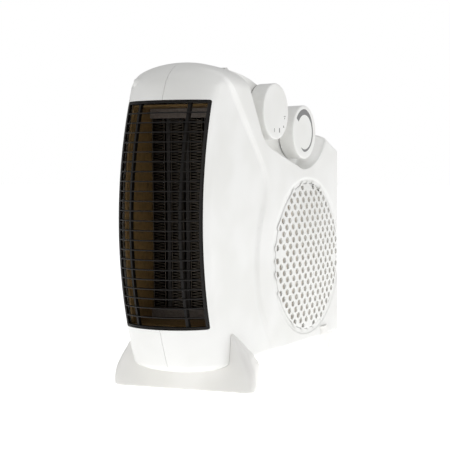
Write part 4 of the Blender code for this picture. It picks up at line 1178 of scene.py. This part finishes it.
# ---- carried-over pieces of the frame --------------------------------------------------------
def dress_frame():
    looks = {
        "cord_gland": PVC, "power_switch": BAKELITE, "thermostat": BAKELITE, "bimetal_strip": COPPER,
        "heater_duct": MICA, "lower_holder": RESIN, "upper_holder": RESIN, "blower_scroll": BEIGE,
        "scroll_cover": BEIGE, "blower_wheel": DARK, "motor_core": CORE, "motor_coil": COPPER,
        "rotor": FOIL, "thermal_cutout": FOIL, "ceramic_bar_1": CERAMIC, "ceramic_bar_2": CERAMIC,
        "ceramic_bar_3": CERAMIC,
    }
    for name, node in frame["nodes"].items():
        node.data.materials.clear()
        node.data.materials.append(looks.get(name, STEEL))


# ---- stage, light and camera -----------------------------------------------------------------
def build_stage():
    bm = bmesh.new()
    bmesh.ops.create_grid(bm, x_segments=2, y_segments=2, size=6)
    floor = linked("floor", plain_mesh("floor", bm, backdrop_paper()))
    floor.location.z = -0.2 * MM


def softbox(name, place, aim, size, power):
    lamp = bpy.data.lights.new(name, "AREA")
    lamp.shape = "RECTANGLE"
    lamp.size, lamp.size_y = size
    lamp.energy = power
    ob = linked(name, lamp)
    ob.location = place
    ob.rotation_euler = (Vector(aim) - Vector(place)).to_track_quat("-Z", "Y").to_euler()


def build_light():
    world = bpy.data.worlds.new("studio")
    world.use_nodes = True
    tree = world.node_tree
    seen = add(tree, "ShaderNodeLightPath").outputs["Is Camera Ray"]
    strength = spread(tree, seen, 0.43, 1.0)
    tree.nodes["Background"].inputs["Color"].default_value = (1, 1, 1, 1)
    tree.links.new(strength, tree.nodes["Background"].inputs["Strength"])
    bpy.context.scene.world = world
    middle = (0, 0, 0.12)
    softbox("side_box", (1.6, 0.6, 0.7), middle, (1.2, 1.2), 4.6)
    softbox("front_box", (-1.2, -1.1, 1.1), middle, (0.9, 1.2), 2.4)
    softbox("top_box", (0.2, 0.2, 1.7), middle, (1.4, 1.4), 3.4)
    bpy.context.scene.view_settings.view_transform = "Standard"


def build_camera():
    lens = bpy.data.cameras.new("camera")
    lens.lens, lens.sensor_width = 92, 36
    camera = linked("camera", lens)
    camera.location = (0.3266, -0.8400, 0.1668)
    azimuth, pitch, roll = math.radians(20.9), math.radians(3.26), math.radians(0.45)
    look = Vector((-math.sin(azimuth) * math.cos(pitch), math.cos(azimuth) * math.cos(pitch),
                   -math.sin(pitch)))
    turn = look.to_track_quat("-Z", "Y").to_matrix() @ Matrix.Rotation(-roll, 3, "Z")
    camera.rotation_euler = turn.to_euler()
    bpy.context.scene.camera = camera


build_camera()
build_light()
build_stage()
dress_frame()
build_housing()
build_inlet_grille()
build_outlet_grille()
build_element()
build_knob("power_knob_drum", "power_knob", "power_control", POWER)
build_knob("thermostat_knob_drum", "thermostat_knob", "thermostat_control", THERMO)
build_marks()
build_feet()
